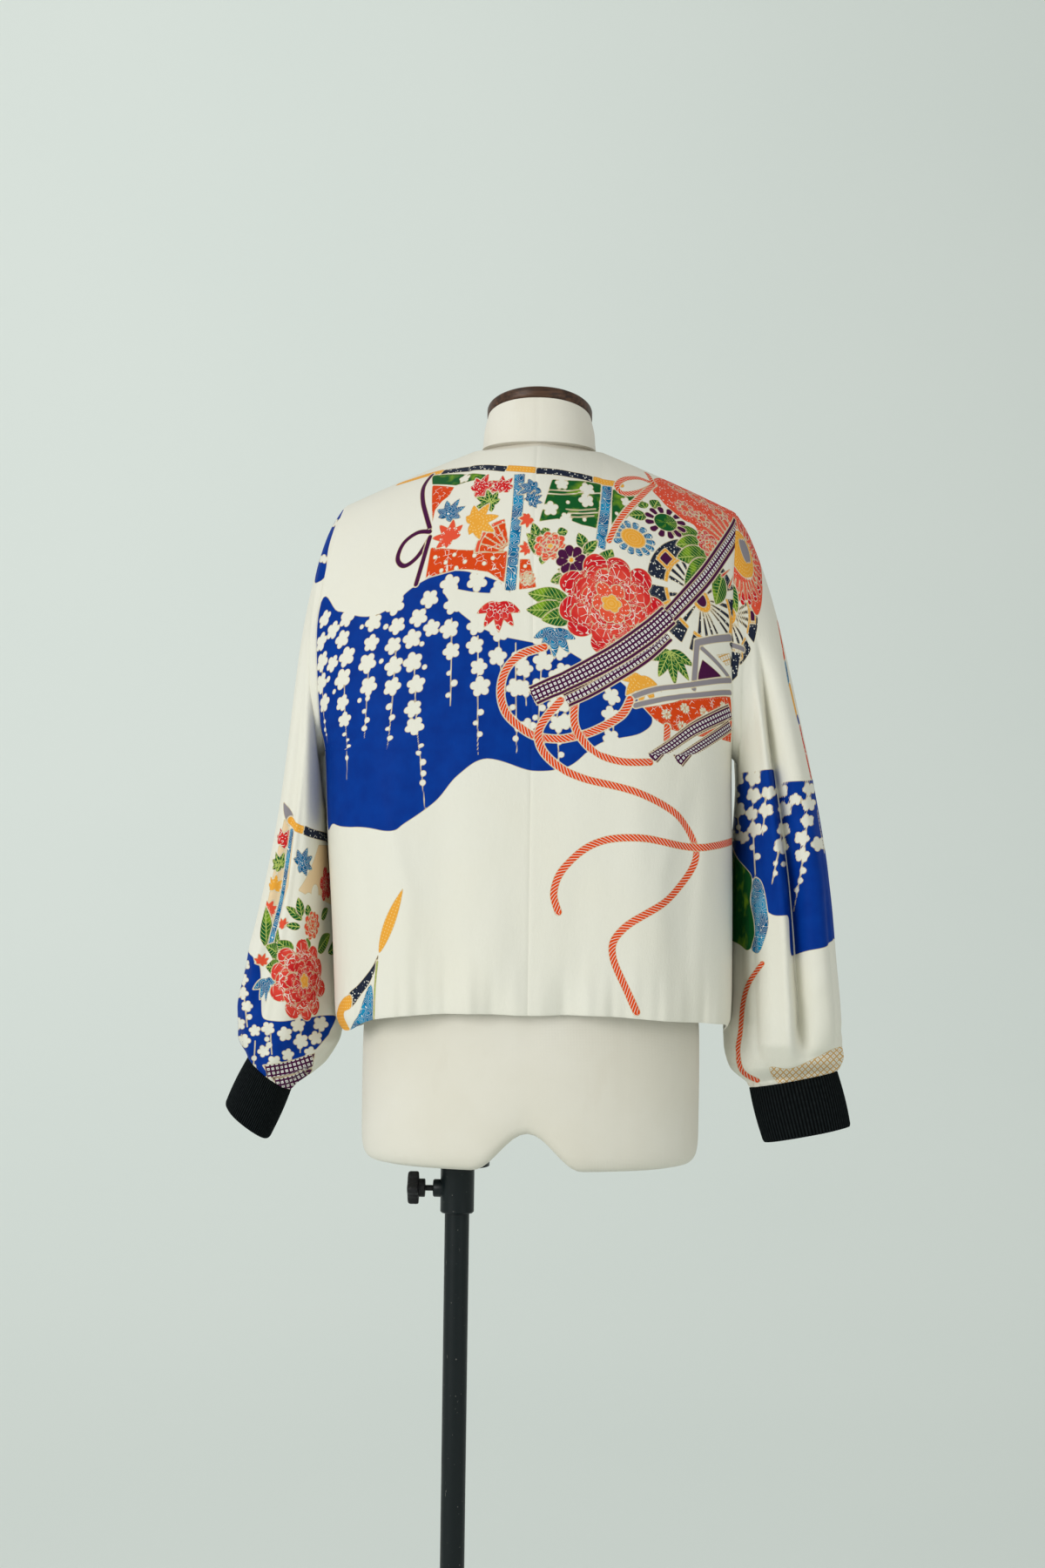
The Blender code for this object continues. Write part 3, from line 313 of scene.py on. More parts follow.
def besideBody(side, points, ring):
    # the width never comes below the jacket's own side plus the clearance
    width, y, z = side * points[..., 0], points[..., 1], points[..., 2]
    deep = np.where(y < 0, depthAt(back, z), depthAt(front, z))
    part = 1 - np.clip(np.abs(y) / deep, 0, 1) ** body["power"]
    limit = halfWidth(side, z) * part ** (1 / body["power"]) + sleeve["clear"]
    short = np.maximum(limit - width, 0) * ease(ring / 1.2) * ease((body["underarm"] - z) / 0.02)
    return points + np.stack([side * short, 0 * short, 0 * short], axis=-1)


def sleeveCreasesAt(side, angle, ring):
    # bell curves round the sleeve for long creases, and tilted ones for those across it
    total = np.zeros(np.broadcast(angle, ring).shape)
    for middle, first, last, half, height in sleeveCreases[side]:
        away = wrapped(angle - middle)
        reach = ease((ring - first) / 2.2) * ease((last - ring) / 1.8)
        total = total + height * reach * np.exp(-(away / half) ** 2)
    for middle, at, turn, length, half, height in crossCreases[side]:
        away = wrapped(angle - middle)
        off = ring - at - turn * away
        total = total + height * np.exp(-(away / length) ** 2 - (off / (half * 2.2)) ** 2)
    return total


def sleeveGrid(side, face, rings, count):
    # rings whose angles run from the armhole's own to even ones, with creases along the radius
    hole = panelGrid(side, face, 2, [0, 1], np.linspace(0, 1, count))[1:, -1]
    hole = hole[::-1] if face == back else hole
    ring = np.asarray(rings, float)[:, None]
    down = ring / (len(sleeveRings[side]) - 1)
    share = np.linspace(0, 1, count)[None, :]
    outer = sleeve["outerTurn"][side] * ease(down * 1.3)
    under = math.pi - sleeve["underTurn"][side] * ease(down * 1.6 - 0.6)
    even = outer + (under - outer) * share if face == back else (
        under + (2 * math.pi + outer - under) * share)
    outZ, inZ = sleeveRings[side][0][1], sleeveRings[side][0][3]
    start = np.arccos(np.clip((hole[:, 2] - (outZ + inZ) / 2) / ((outZ - inZ) / 2), -1, 1))[None, :]
    start = 2 * math.pi - start if face == front else start
    angle = start + (even - start) * ease(ring / sleeve["reach"])
    offset = hole[None] - ringPoints(side, start, np.zeros((1, 1)))
    points = ringPoints(side, angle, ring) + offset * (1 - ease(ring / sleeve["reach"]))[..., None]
    middle = (ringPoints(side, angle, ring) + ringPoints(side, angle + math.pi, ring)) / 2
    outward = points - middle
    outward /= np.maximum(np.linalg.norm(outward, axis=-1, keepdims=True), 1e-9)
    nearCuff = np.exp(-((ring - sleeve["gatherAt"]) / sleeve["gatherReach"]) ** 2)
    gather = sleeve["gatherDepth"] * np.cos(sleeve["gathers"] * angle) * nearCuff
    uneven = np.cos(sleeve["fine"] * angle + 0.6 * np.sin(3 * angle))
    small = sleeve["fineDepth"] * uneven * np.exp(-((ring - sleeve["fineAt"]) / sleeve["fineReach"]) ** 2)
    raised = sleeveCreasesAt(side, angle, ring) + gather + small
    return besideBody(side, points + outward * raised[..., None], ring)


def runLengths(grid, axis):
    # distances added up along one way of the grid
    steps = np.linalg.norm(np.diff(grid, axis=axis), axis=-1)
    first = np.zeros_like(np.take(steps, [0], axis=axis))
    return np.concatenate([first, np.cumsum(steps, axis=axis)], axis=axis)


def gridNormals(grid, flip):
    # cross product of the steps across and along
    normal = np.cross(np.gradient(grid, axis=1), np.gradient(grid, axis=0)) * flip
    return normal / np.maximum(np.linalg.norm(normal, axis=-1, keepdims=True), 1e-12)


def makeMesh(name, points, groups, uv=None, smooth=math.radians(55)):
    # polygons from index tables, one table for each number of corners
    mesh = bpy.data.meshes.new(name)
    loops = np.concatenate([g.ravel() for g in groups]).astype(np.int32)
    totals = np.concatenate([np.full(len(g), g.shape[1]) for g in groups])
    starts = np.concatenate([[0], np.cumsum(totals)[:-1]]).astype(np.int32)
    mesh.vertices.add(len(points))
    mesh.vertices.foreach_set("co", np.asarray(points, np.float32).ravel())
    mesh.loops.add(len(loops))
    mesh.loops.foreach_set("vertex_index", loops)
    mesh.polygons.add(len(totals))
    mesh.polygons.foreach_set("loop_start", starts)
    mesh.update(calc_edges=True)
    mesh.validate()
    if uv is not None:
        layer = mesh.uv_layers.new(name="cloth")
        corner = np.empty(len(mesh.loops), np.int32)
        mesh.loops.foreach_get("vertex_index", corner)
        layer.data.foreach_set("uv", np.asarray(uv, np.float32)[corner].ravel())
    mesh.shade_smooth()
    mesh.set_sharp_from_angle(angle=smooth)
    piece = bpy.data.objects.new(name, mesh)
    scene.collection.objects.link(piece)
    return piece


def quads(index):
    # four corners of each cell of an index grid
    return np.stack([index[:-1, :-1], index[:-1, 1:], index[1:, 1:], index[1:, :-1]], axis=-1).reshape(-1, 4)


def shell(name, grid, flip, thick, edges, flat, skip=4):
    # outer grid, an inner grid of every fourth point, and many-sided faces that close the rims;
    # the outer side sinks beside a seam by a bell curve of the distance from the edge
    normals = gridNormals(grid, flip)
    across, along = runLengths(grid, 1), runLengths(grid, 0)
    sink = np.zeros(grid.shape[:2])
    away = {"firstColumn": across, "lastColumn": across[:, -1:] - across,
            "firstRow": along, "lastRow": along[-1:] - along}
    for edge, depth, width in edges:
        sink += depth * np.exp(-(away[edge] / width) ** 2)
    outer = grid + normals * (thick / 2 - np.minimum(sink, thick * 0.75))[..., None]
    inner = (grid - normals * thick / 2)[::skip, ::skip]
    rows, columns = grid.shape[:2]
    top = np.arange(rows * columns).reshape(rows, columns)
    low = rows * columns + np.arange(inner.shape[0] * inner.shape[1]).reshape(inner.shape[:2])
    rims = []
    for a, b in ((top[0], low[0]), (top[:, -1], low[:, -1]),
                 (top[-1, ::-1], low[-1, ::-1]), (top[::-1, 0], low[::-1, 0])):
        cells = np.arange(len(b) - 1)
        fine = a[(cells[:, None] * skip + np.arange(skip, -1, -1)[None, :])]
        rims.append(np.concatenate([fine, b[cells][:, None], b[cells + 1][:, None]], axis=1))
    groups = [quads(top), quads(low)[:, ::-1], np.concatenate(rims)]
    if flip < 0:
        groups = [g[:, ::-1] for g in groups]
    points = np.concatenate([outer.reshape(-1, 3), inner.reshape(-1, 3)])
    plain = np.concatenate([flat.reshape(-1, 2), flat[::skip, ::skip].reshape(-1, 2)])
    return makeMesh(name, points, groups, plain / 1000)


def sideways(path, closed):
    # a smooth curve through the points, with eight steps between two of them
    p = np.asarray(path, float)
    count = len(p)
    steps = np.linspace(0, 1, 8, endpoint=False)[:, None]
    out = []
    for i in range(count if closed else count - 1):
        a, b, c, d = (p[(i + k) % count] if closed else p[min(max(i + k, 0), count - 1)]
                      for k in (-1, 0, 1, 2))
        out.append(0.5 * (2 * b + (c - a) * steps + (2 * a - 5 * b + 4 * c - d) * steps ** 2
                          + (3 * b - a - 3 * c + d) * steps ** 3))
    if not closed:
        out.append(p[-1:])
    return np.concatenate(out)


def awayFrom(points, path):
    # nearest distance to a path, the length run to it and the signed side
    a, d = path[:-1], np.diff(path, axis=0)
    size = np.maximum((d ** 2).sum(1), 1e-9)
    rel = points[:, None, :] - a[None]
    t = np.clip((rel * d).sum(-1) / size, 0, 1)
    gap = rel - t[..., None] * d
    far = (gap ** 2).sum(-1)
    k = far.argmin(1)
    rows = np.arange(len(points))
    length = np.sqrt(size)
    run = np.concatenate([[0], np.cumsum(length)[:-1]])[k] + t[rows, k] * length[k]
    turn = d[k, 0] * rel[rows, k, 1] - d[k, 1] * rel[rows, k, 0]
    return np.sqrt(far[rows, k]), run, np.sign(turn)


def insideOf(points, path):
    # crossings of a level ray with the outline, odd inside
    x, y = points[:, :1], points[:, 1:]
    a, b = path[:-1], path[1:]
    hit = (a[None, :, 1] > y) != (b[None, :, 1] > y)
    slope = (b[:, 0] - a[:, 0]) / np.where(b[:, 1] == a[:, 1], 1e-9, b[:, 1] - a[:, 1])
    return ((x < a[None, :, 0] + (y - a[None, :, 1]) * slope) & hit).sum(1) % 2 == 1


inks = ("blue", "red", "coral", "orange", "green", "teal", "yellow", "purple", "black", "grey", "tied",
        "cord", "lattice", "peach")


class Dye:
    # each dye's distance in millimetres to its own edge, at every point of a cloth's plane
    bare = 9.0       # distance where there is no dye
    facing = 0.12    # least share by which a point that places dyes faces the camera
    square = 0.6     # the same for the points of the broad fit
    every = 5        # one point in so many places dyes
    count = 24       # points of one local fit
    reach = 8        # pixels beyond which the broad fit is used
    farthest = 30    # longest move of a local fit in millimetres

    def __init__(self, flat, seen):
        self.flat = flat
        self.seen = seen
        self.edge = np.full((len(inks), len(flat)), self.bare, np.float32)
        self.run = flat[:, 0].astype(np.float32).copy()
        self.across = flat[:, 1].astype(np.float32).copy()
        near = seen[:, 2] > self.facing
        self.keyPhoto = seen[near][::self.every, :2]
        self.keyFlat = flat[near][::self.every]
        plain = seen[:, 2] > self.square
        spread = np.column_stack([seen[plain, :2], np.ones(plain.sum())])
        self.broad = np.linalg.lstsq(spread, flat[plain], rcond=None)[0]

    def at(self, pixels):
        # place on the cloth of a place in the picture, by an affine fit to the nearest points
        out = []
        for pixel in np.atleast_2d(np.asarray(pixels, float)):
            gap = ((self.keyPhoto - pixel) ** 2).sum(1)
            k = np.argpartition(gap, self.count)[:self.count]
            if gap[k].min() > self.reach ** 2:
                closest = self.keyPhoto[gap.argmin()]
                out.append(self.keyFlat[gap.argmin()] + (pixel - closest) @ self.broad[:2])
                continue
            weight = 1 / (gap[k] + 4)
            mid = (self.keyPhoto[k] * weight[:, None]).sum(0) / weight.sum()
            a = np.column_stack([self.keyPhoto[k] - mid, np.ones(self.count)]) * np.sqrt(weight)[:, None]
            b = self.keyFlat[k] * np.sqrt(weight)[:, None]
            fit = np.linalg.lstsq(a, b, rcond=1e-3)[0]
            move = np.clip((pixel - mid) @ fit[:2], -self.farthest, self.farthest)
            out.append(move + fit[2])
        return np.array(out)

    def near(self, low, high, margin=4.0):
        # points in a box and a margin round it
        f = self.flat
        return np.nonzero((f[:, 0] > low[0] - margin) & (f[:, 0] < high[0] + margin)
                          & (f[:, 1] > low[1] - margin) & (f[:, 1] < high[1] + margin))[0]

    def put(self, ink, index, far, edge=0.8, run=None, across=None):
        # the shape clears every dye under it with a rim round it, then lays its own
        self.edge[:, index] = np.maximum(self.edge[:, index], -(far - edge))
        if ink is None:
            return
        row = inks.index(ink)
        self.edge[row, index] = np.minimum(self.edge[row, index], far)
        take = far < 2.0
        if run is not None:
            self.run[index[take]] = run[take]
            self.across[index[take]] = across[take]
        else:
            self.run[index[take]] = self.flat[index[take], 0]
            self.across[index[take]] = self.flat[index[take], 1]

    def area(self, ink, pixels, smooth=True, edge=0.8, flat=False):
        # inside an outline: the distance to it, less than nothing within
        path = np.asarray(pixels, float) if flat else self.at(pixels)
        path = sideways(path, True) if smooth else path
        path = np.concatenate([path, path[:1]])
        index = self.near(path.min(0), path.max(0))
        if not len(index):
            return
        far = awayFrom(self.flat[index], path)[0]
        self.put(ink, index, np.where(insideOf(self.flat[index], path), -far, far), edge)

    def band(self, ink, pixels, width, smooth=True, edge=0.8, flat=False, square=False):
        # along a line: the distance to it less half the width
        path = np.asarray(pixels, float) if flat else self.at(pixels)
        path = sideways(path, False) if smooth else path
        index = self.near(path.min(0) - width / 2, path.max(0) + width / 2)
        if not len(index):
            return
        far, run, side = awayFrom(self.flat[index], path)
        out = far - width / 2
        if square:
            # past either end, the distance to a straight cut
            ends = ((path[0], path[1], run < 0.01), (path[-1], path[-2], run > run.max() - 0.01))
            for end, before, atEnd in ends:
                way = (end - before) / np.hypot(*(end - before))
                rel = self.flat[index] - end
                past = rel @ way
                beside = np.abs(rel[:, 0] * way[1] - rel[:, 1] * way[0])
                out = np.where(atEnd & (past > 0), np.maximum(past, beside - width / 2), out)
        self.put(ink, index, out, edge, run, far * side)

    def local(self, centre, radius, turn=0.0, flat=False, squeeze=1.0):
        # turned places of the points round a centre
        c = np.asarray(centre, float) if flat else self.at(centre)[0]
        index = self.near(c - radius, c + radius)
        rel = self.flat[index] - c
        x = rel[:, 0] * math.cos(turn) + rel[:, 1] * math.sin(turn)
        y = (-rel[:, 0] * math.sin(turn) + rel[:, 1] * math.cos(turn)) / squeeze
        return index, x, y

    def disc(self, ink, centre, radius, edge=0.8, flat=False):
        # distance from the centre less the radius
        index, x, y = self.local(centre, radius, flat=flat)
        self.put(ink, index, np.hypot(x, y) - radius, edge)

    def spots(self, places, radius):
        # clear round spots
        for place in places:
            self.disc(None, place, radius, 0.0)

    def petals(self, ink, centre, count, start, end, half, turn=0.0, edge=0.8, flat=False, squeeze=1.0,
               point=0.6):
        # one petal repeated round the centre: a line from start to end, thicker further out
        index, x, y = self.local(centre, end + half, turn, flat, squeeze)
        step = 2 * math.pi / count
        angle = wrapped(np.arctan2(y, x), step)
        rho = np.hypot(x, y)
        px, py = rho * np.cos(angle), rho * np.sin(angle)
        t = np.clip((px - start) / max(end - start, 1e-6), 0, 1)
        far = np.hypot(px - (start + t * (end - start)), py) - half * (1 - point + point * t)
        self.put(ink, index, far, edge, rho, angle * 20)

    def plum(self, centre, radius, turn=0.0, ink=None, edge=0.0, flat=False):
        # five round petals over a disc
        self.petals(ink, centre, 5, radius * 0.60, radius * 0.64, radius * 0.385, turn, edge, flat, point=0.0)
        self.disc(ink, centre, radius * 0.46, edge, flat)

    def leafSet(self, ink, centre, lobes, edge=0.8, flat=False):
        # union of leaves from one point: angle, length and half width of each
        c = np.asarray(centre, float) if flat else self.at(centre)[0]
        longest = max(length for _, length, _ in lobes)
        index = self.near(c - longest, c + longest)
        rel = self.flat[index] - c
        far, run, across = np.full(len(index), 99.0), np.zeros(len(index)), np.zeros(len(index))
        for angle, length, half in lobes:
            x = rel[:, 0] * math.cos(angle) + rel[:, 1] * math.sin(angle)
            y = -rel[:, 0] * math.sin(angle) + rel[:, 1] * math.cos(angle)
            t = np.clip(x / length, 0, 1)
            past = np.maximum(np.maximum(-x, x - length), 0)
            one = np.hypot(past, y) - half * np.sin(math.pi * t ** 0.8) ** 0.8
            better = one < far
            far = np.where(better, one, far)
            run, across = np.where(better, x, run), np.where(better, y, across)
        self.put(ink, index, far, edge, run, across)

    def maple(self, ink, centre, radius, turn=0.0):
        # seven lobes, shorter to the sides
        rays = ((-2.2, .55), (-1.5, .8), (-.75, .95), (0, 1), (.75, .95), (1.5, .8), (2.2, .55))
        self.leafSet(ink, centre, [(turn + a, radius * r, radius * 0.19) for a, r in rays])

    def maples(self, rows):
        for x, y, radius, ink, turn in rows:
            self.maple(ink, (x, y), radius, turn)

    def bamboo(self, ink, centre, radius, turn=-1.57, flat=False):
        # five narrow leaves that hang from one point
        rays = ((-1.15, .8), (-.55, .95), (0, 1), (.55, .95), (1.15, .8))
        self.leafSet(ink, centre, [(turn + a, radius * r, radius * 0.165) for a, r in rays], flat=flat)

    def leaf(self, ink, stem, tip, half):
        # one leaf from its stem to its tip
        a, b = (self.at(p)[0] for p in (stem, tip))
        way = b - a
        self.leafSet(ink, a, [(math.atan2(way[1], way[0]), float(np.hypot(*way)), half)], flat=True)

    def leaves(self, rows):
        for stem, tip, half in rows:
            self.leaf("green", stem, tip, half)

    def peony(self, centre, radius, colours=("red", "red", "coral", "yellow"), squeeze=0.86, turn=0.0,
              flat=False):
        # rings of round petals, each ring laid over the one outside it
        rings = ((10, 0.76, 0.235, 0), (8, 0.56, 0.225, 0), (6, 0.40, 0.18, 1), (6, 0.23, 0.15, 2))
        for k, (count, at, size, colour) in enumerate(rings):
            self.petals(colours[colour], centre, 1, 0, 0, radius * at, 0.0, 0.0, flat, squeeze, 0.0)
            for half in (0, 1):
                offset = turn + k * 0.31 + half * 2 * math.pi / count
                self.petals(colours[colour], centre, count // 2, radius * at, radius * at, radius * size,
                            offset, 0.5, flat, squeeze, 0.0)
        self.petals(colours[3], centre, 5, radius * 0.07, radius * 0.11, radius * 0.075, turn, 0.5, flat,
                    squeeze, 0.0)

    def daisy(self, centre, radius, ink, heart, count=14, squeeze=0.8, turn=0.0, flat=False):
        # round petals in a close ring round an oval heart
        self.petals(ink, centre, count, radius * 0.62, radius * 0.84, radius * 0.155, turn, 0.5, flat,
                    squeeze, 0.3)
        self.petals(heart, centre, 1, 0, 0, radius * 0.54, turn, 0.6, flat, squeeze, 0.0)

    def fan(self, ink, centre, radius, first, last, inner, ribs, border):
        # a ring sector with a border band and clear ribs
        index, x, y = self.local(centre, radius)
        rho, angle = np.hypot(x, y), np.arctan2(y, x)
        middle, half = (first + last) / 2, (last - first) / 2
        off = np.abs(wrapped(angle - middle)) - half
        far = np.maximum(np.maximum(rho - radius, radius * inner - rho), off * rho)
        self.put(ink, index, far, 0.8)
        self.put(border, index, np.maximum(far, np.abs(rho - radius * 0.93) - radius * 0.05), 0.5)
        gap = (last - first) / ribs
        fold = np.abs(wrapped(angle - first, gap)) * rho
        self.put(None, index, np.maximum(np.maximum(fold - 0.6, far + 1.0), rho - radius * 0.86), 0.0)

    def wheel(self, centre, radius, fans=5):
        # open fans set in a ring: a dark rim in parts, dark and clear ribs inside it, and a hub
        index, x, y = self.local(centre, radius)
        rho, angle = np.hypot(x, y), np.arctan2(y, x)
        gap = 2 * math.pi / fans
        fromFan = np.abs(wrapped(angle, gap))
        off = (gap * 0.44 - fromFan) * rho
        self.put("black", index, np.maximum(rho - radius, -off), 0.6)
        rib = 2 * math.pi / (fans * 5)
        fold = (np.abs(wrapped(angle, rib)) - rib * 0.27) * rho
        self.put(None, index, np.maximum(np.maximum(fold, rho - radius * 0.64), radius * 0.2 - rho), 0.0)
        self.put("yellow", index, np.maximum(np.abs(rho - radius * 0.66) - radius * 0.03, -off), 0.4)
        badge = np.maximum(np.abs(rho - radius * 0.80) * 1.2, fromFan * rho)
        self.put("yellow", index, badge - radius * 0.155, 0.4)
        self.put("purple", index, badge - radius * 0.10, 0.3)
        self.put("yellow", index, rho - radius * 0.20, 0.5)
        self.put("purple", index, rho - radius * 0.12, 0.5)


class SeenDye(Dye):
    # the same dyes, laid on the side of the cloth that faces the camera, in the picture's own millimetres
    pixel = 0.9      # size of a pixel at the form
    facing = 0.04
    away = 1e6       # where the points go that face away

    def __init__(self, dye):
        self.scale = np.array([self.pixel, -self.pixel])
        self.flat = np.where(dye.seen[:, 2:] > self.facing, dye.seen[:, :2] * self.scale, self.away)
        self.edge, self.run, self.across = dye.edge, dye.run, dye.across

    def at(self, pixels):
        # place in the picture times the size of a pixel
        return np.atleast_2d(np.asarray(pixels, float)) * self.scale


def cameraFrame():
    # forward, right and up of the camera, turned by its roll
    place = Vector(view["place"])
    forward = (Vector(view["aim"]) - place).normalized()
    side = forward.cross(Vector((0, 0, 1))).normalized()
    up = side.cross(forward)
    roll = math.radians(view["roll"])
    turn, tilt = math.cos(roll), math.sin(roll)
    return place, forward, side * turn + up * tilt, up * turn - side * tilt


def inPhoto(points, normals):
    # pixel column and row, and how far the surface faces the camera
    place, forward, side, up = (np.array(v) for v in cameraFrame())
    rel = points - place
    deep = rel @ forward
    focus = view["lens"] / view["sensor"] * view["tall"]
    toward = -(normals * rel).sum(-1) / np.linalg.norm(rel, axis=-1)
    column = view["wide"] / 2 + rel @ side / deep * focus
    row = view["tall"] / 2 - rel @ up / deep * focus
    return np.stack([column, row, toward], axis=-1)


def addCamera():
    # the camera looks along its forward line
    place, forward, side, up = cameraFrame()
    data = bpy.data.cameras.new("camera")
    data.lens = view["lens"]
    data.clip_end = view["farthest"]
    camera = bpy.data.objects.new("camera", data)
    turn = Matrix((side, up, -forward)).transposed()
    camera.matrix_world = Matrix.Translation(place) @ turn.to_4x4()
    scene.collection.objects.link(camera)
    scene.camera = camera


addCamera()

# Cloth sheets: how many steps each panel's mesh has, in multiples of four
steps = {("body", back): (180, 196, 212), ("body", front): (124, 132, 144),
         ("sleeve", back): (116, 348), ("sleeve", front): (84, 236)}
seamEdge, freeEdge = (0.0007, 0.0016), (0.0006, 0.0012)


def bodyPanel(side, face):
    # the panel's grid, and on its cloth the lengths run across and along, less the sag of the hem
    columns, low, high = steps["body", face]
    grid = panelGrid(side, face, columns, np.linspace(0, 1, low + 1), np.linspace(0, 1, high + 1))
    across, along = runLengths(grid, 1) * 1000, runLengths(grid, 0) * 1000
    along = along - hemSag(side, np.linspace(0, 1, columns + 1))[None, :] * 1000
    if face == front:
        # the front's plane goes on from the back's, measured where the side seam meets the armhole
        behind = runLengths(panelGrid(side, back, 40, [0, 1], [0, 1]), 1)[1, -1] * 1000
        across = behind + across[low, -1] - across
    return grid, -side * face, np.stack([side * across, along], axis=-1)


def sleevePanel(side, face):
    # the panel's grid, and on its cloth the level lengths and the height
    columns, rows = steps["sleeve", face]
    rings = np.linspace(0, len(sleeveRings[side]) - 1, rows + 1)
    grid = sleeveGrid(side, face, rings, columns + 1)
    # the plane of the cloth: level lengths away from the outer seam's own width, against height
    level = runLengths(grid * np.array([1, 1, 0]), 1) * 1000
    seam = grid[:, :1] if face == back else grid[:, -1:]
    out = np.abs(seam[..., 0]) * 1000
    flatX = side * (out - level if face == back else out + level[:, -1:] - level)
    return grid, side, np.stack([flatX, grid[..., 2] * 1000], axis=-1)


def makeGarment():
    # every panel as a shell, and the plane of its cloth for the dyes
    pieces, planes = {}, {}
    for side in (left, right):
        for face in (back, front):
            middle = ("firstColumn", *(seamEdge if face == back else freeEdge))
            edges = [middle, ("lastColumn", *seamEdge), ("firstRow", *freeEdge), ("lastRow", *seamEdge)]
            seams = [(e, *seamEdge) for e in ("firstRow", "lastRow", "firstColumn", "lastColumn")]
            for name, panel, rims in ((f"{faceNames[face]}_{sideNames[side]}", bodyPanel, edges),
                                      (f"sleeve_{sideNames[side]}_{faceNames[face]}", sleevePanel, seams)):
                grid, flip, flat = panel(side, face)
                pieces[name] = shell("cloth_" + name, grid, flip, body["thick"], rims, flat)
                planes[name] = (grid, gridNormals(grid, flip), flat)
    return pieces, planes


pieces, planes = makeGarment()
print("cloth panels made")


def dyeFor(names):
    # one plane for panels that are printed as one piece of cloth
    flat = np.concatenate([planes[n][2].reshape(-1, 2) for n in names])
    seen = np.concatenate([inPhoto(planes[n][0].reshape(-1, 3), planes[n][1].reshape(-1, 3)) for n in names])
    return Dye(flat, seen)


bodyNames = ("back_left", "back_right", "front_left", "front_right")
sleeveNames = {side: [f"sleeve_{sideNames[side]}_{faceNames[face]}" for face in (back, front)]
               for side in (left, right)}


# Strands of plum flowers, in millimetres, and shares of a strand's length or a flower's size
strand = {"clear": 0.99, "bend": 0.10, "first": (2, 8), "stray": 3.5, "sizes": (0.86, 1.06), "flowers": 0.70,
          "gap": (2.1, 2.6), "bud": (2.2, 3.4), "budGap": (9, 13), "stem": (0.35, 0.6, 0.85, 1.08),
          "stemWide": 0.9, "crowdStray": 8, "crowdDrop": 66, "crowdSizes": (0.8, 1.0), "perBud": 12,
          "budDrop": 90, "budRoom": 2.6, "looseBud": (2.0, 2.9)}


def blossoms(dye, top, drops, seed, size=11.2, crowd=0, flat=False):
    # plum flowers that hang from a line in strands, each clear of the others, with buds below
    rng = np.random.default_rng(seed)
    line = sideways(np.asarray(top, float) if flat else dye.at(top), False)
    placed = []

    def room(x, y, radius):
        return all(math.hypot(x - a, y - b) > (radius + r) * strand["clear"] for a, b, r in placed)

    def bloom(x, y, radius):
        if room(x, y, radius):
            placed.append((x, y, radius))
            dye.plum((x, y), radius, rng.uniform(0, 1.2), flat=True)

    for start, length in drops:
        base = line[int(start * (len(line) - 1))]
        bend = rng.uniform(-strand["bend"], strand["bend"]) * length
        at = rng.uniform(*strand["first"])
        while at < length:
            share = at / length
            x = base[0] + bend * share * share + rng.uniform(-strand["stray"], strand["stray"])
            radius = size * rng.uniform(*strand["sizes"])
            if share < strand["flowers"]:
                bloom(x, base[1] - at, radius)
                at += radius * rng.uniform(*strand["gap"])
            else:
                dye.disc(None, (x, base[1] - at), rng.uniform(*strand["bud"]), 0.0, True)
                at += rng.uniform(*strand["budGap"])
        stem = [(base[0] + bend * a * a, base[1] - a * length) for a in strand["stem"]]
        dye.band(None, stem, strand["stemWide"], True, 0.0, True)

    def nearLine(drop):
        # a place beside the line or below it
        base = line[rng.integers(len(line))]
        stray = rng.uniform(-strand["crowdStray"], strand["crowdStray"])
        return base[0] + stray, base[1] - rng.uniform(0, drop)

    for _ in range(crowd):
        x, y = nearLine(strand["crowdDrop"])
        bloom(x, y, size * rng.uniform(*strand["crowdSizes"]))
    for _ in range(crowd // strand["perBud"]):
        x, y = nearLine(strand["budDrop"])
        if room(x, y, strand["budRoom"]):
            placed.append((x, y, strand["budRoom"]))
            dye.disc(None, (x, y), rng.uniform(*strand["looseBud"]), 0.0, True)


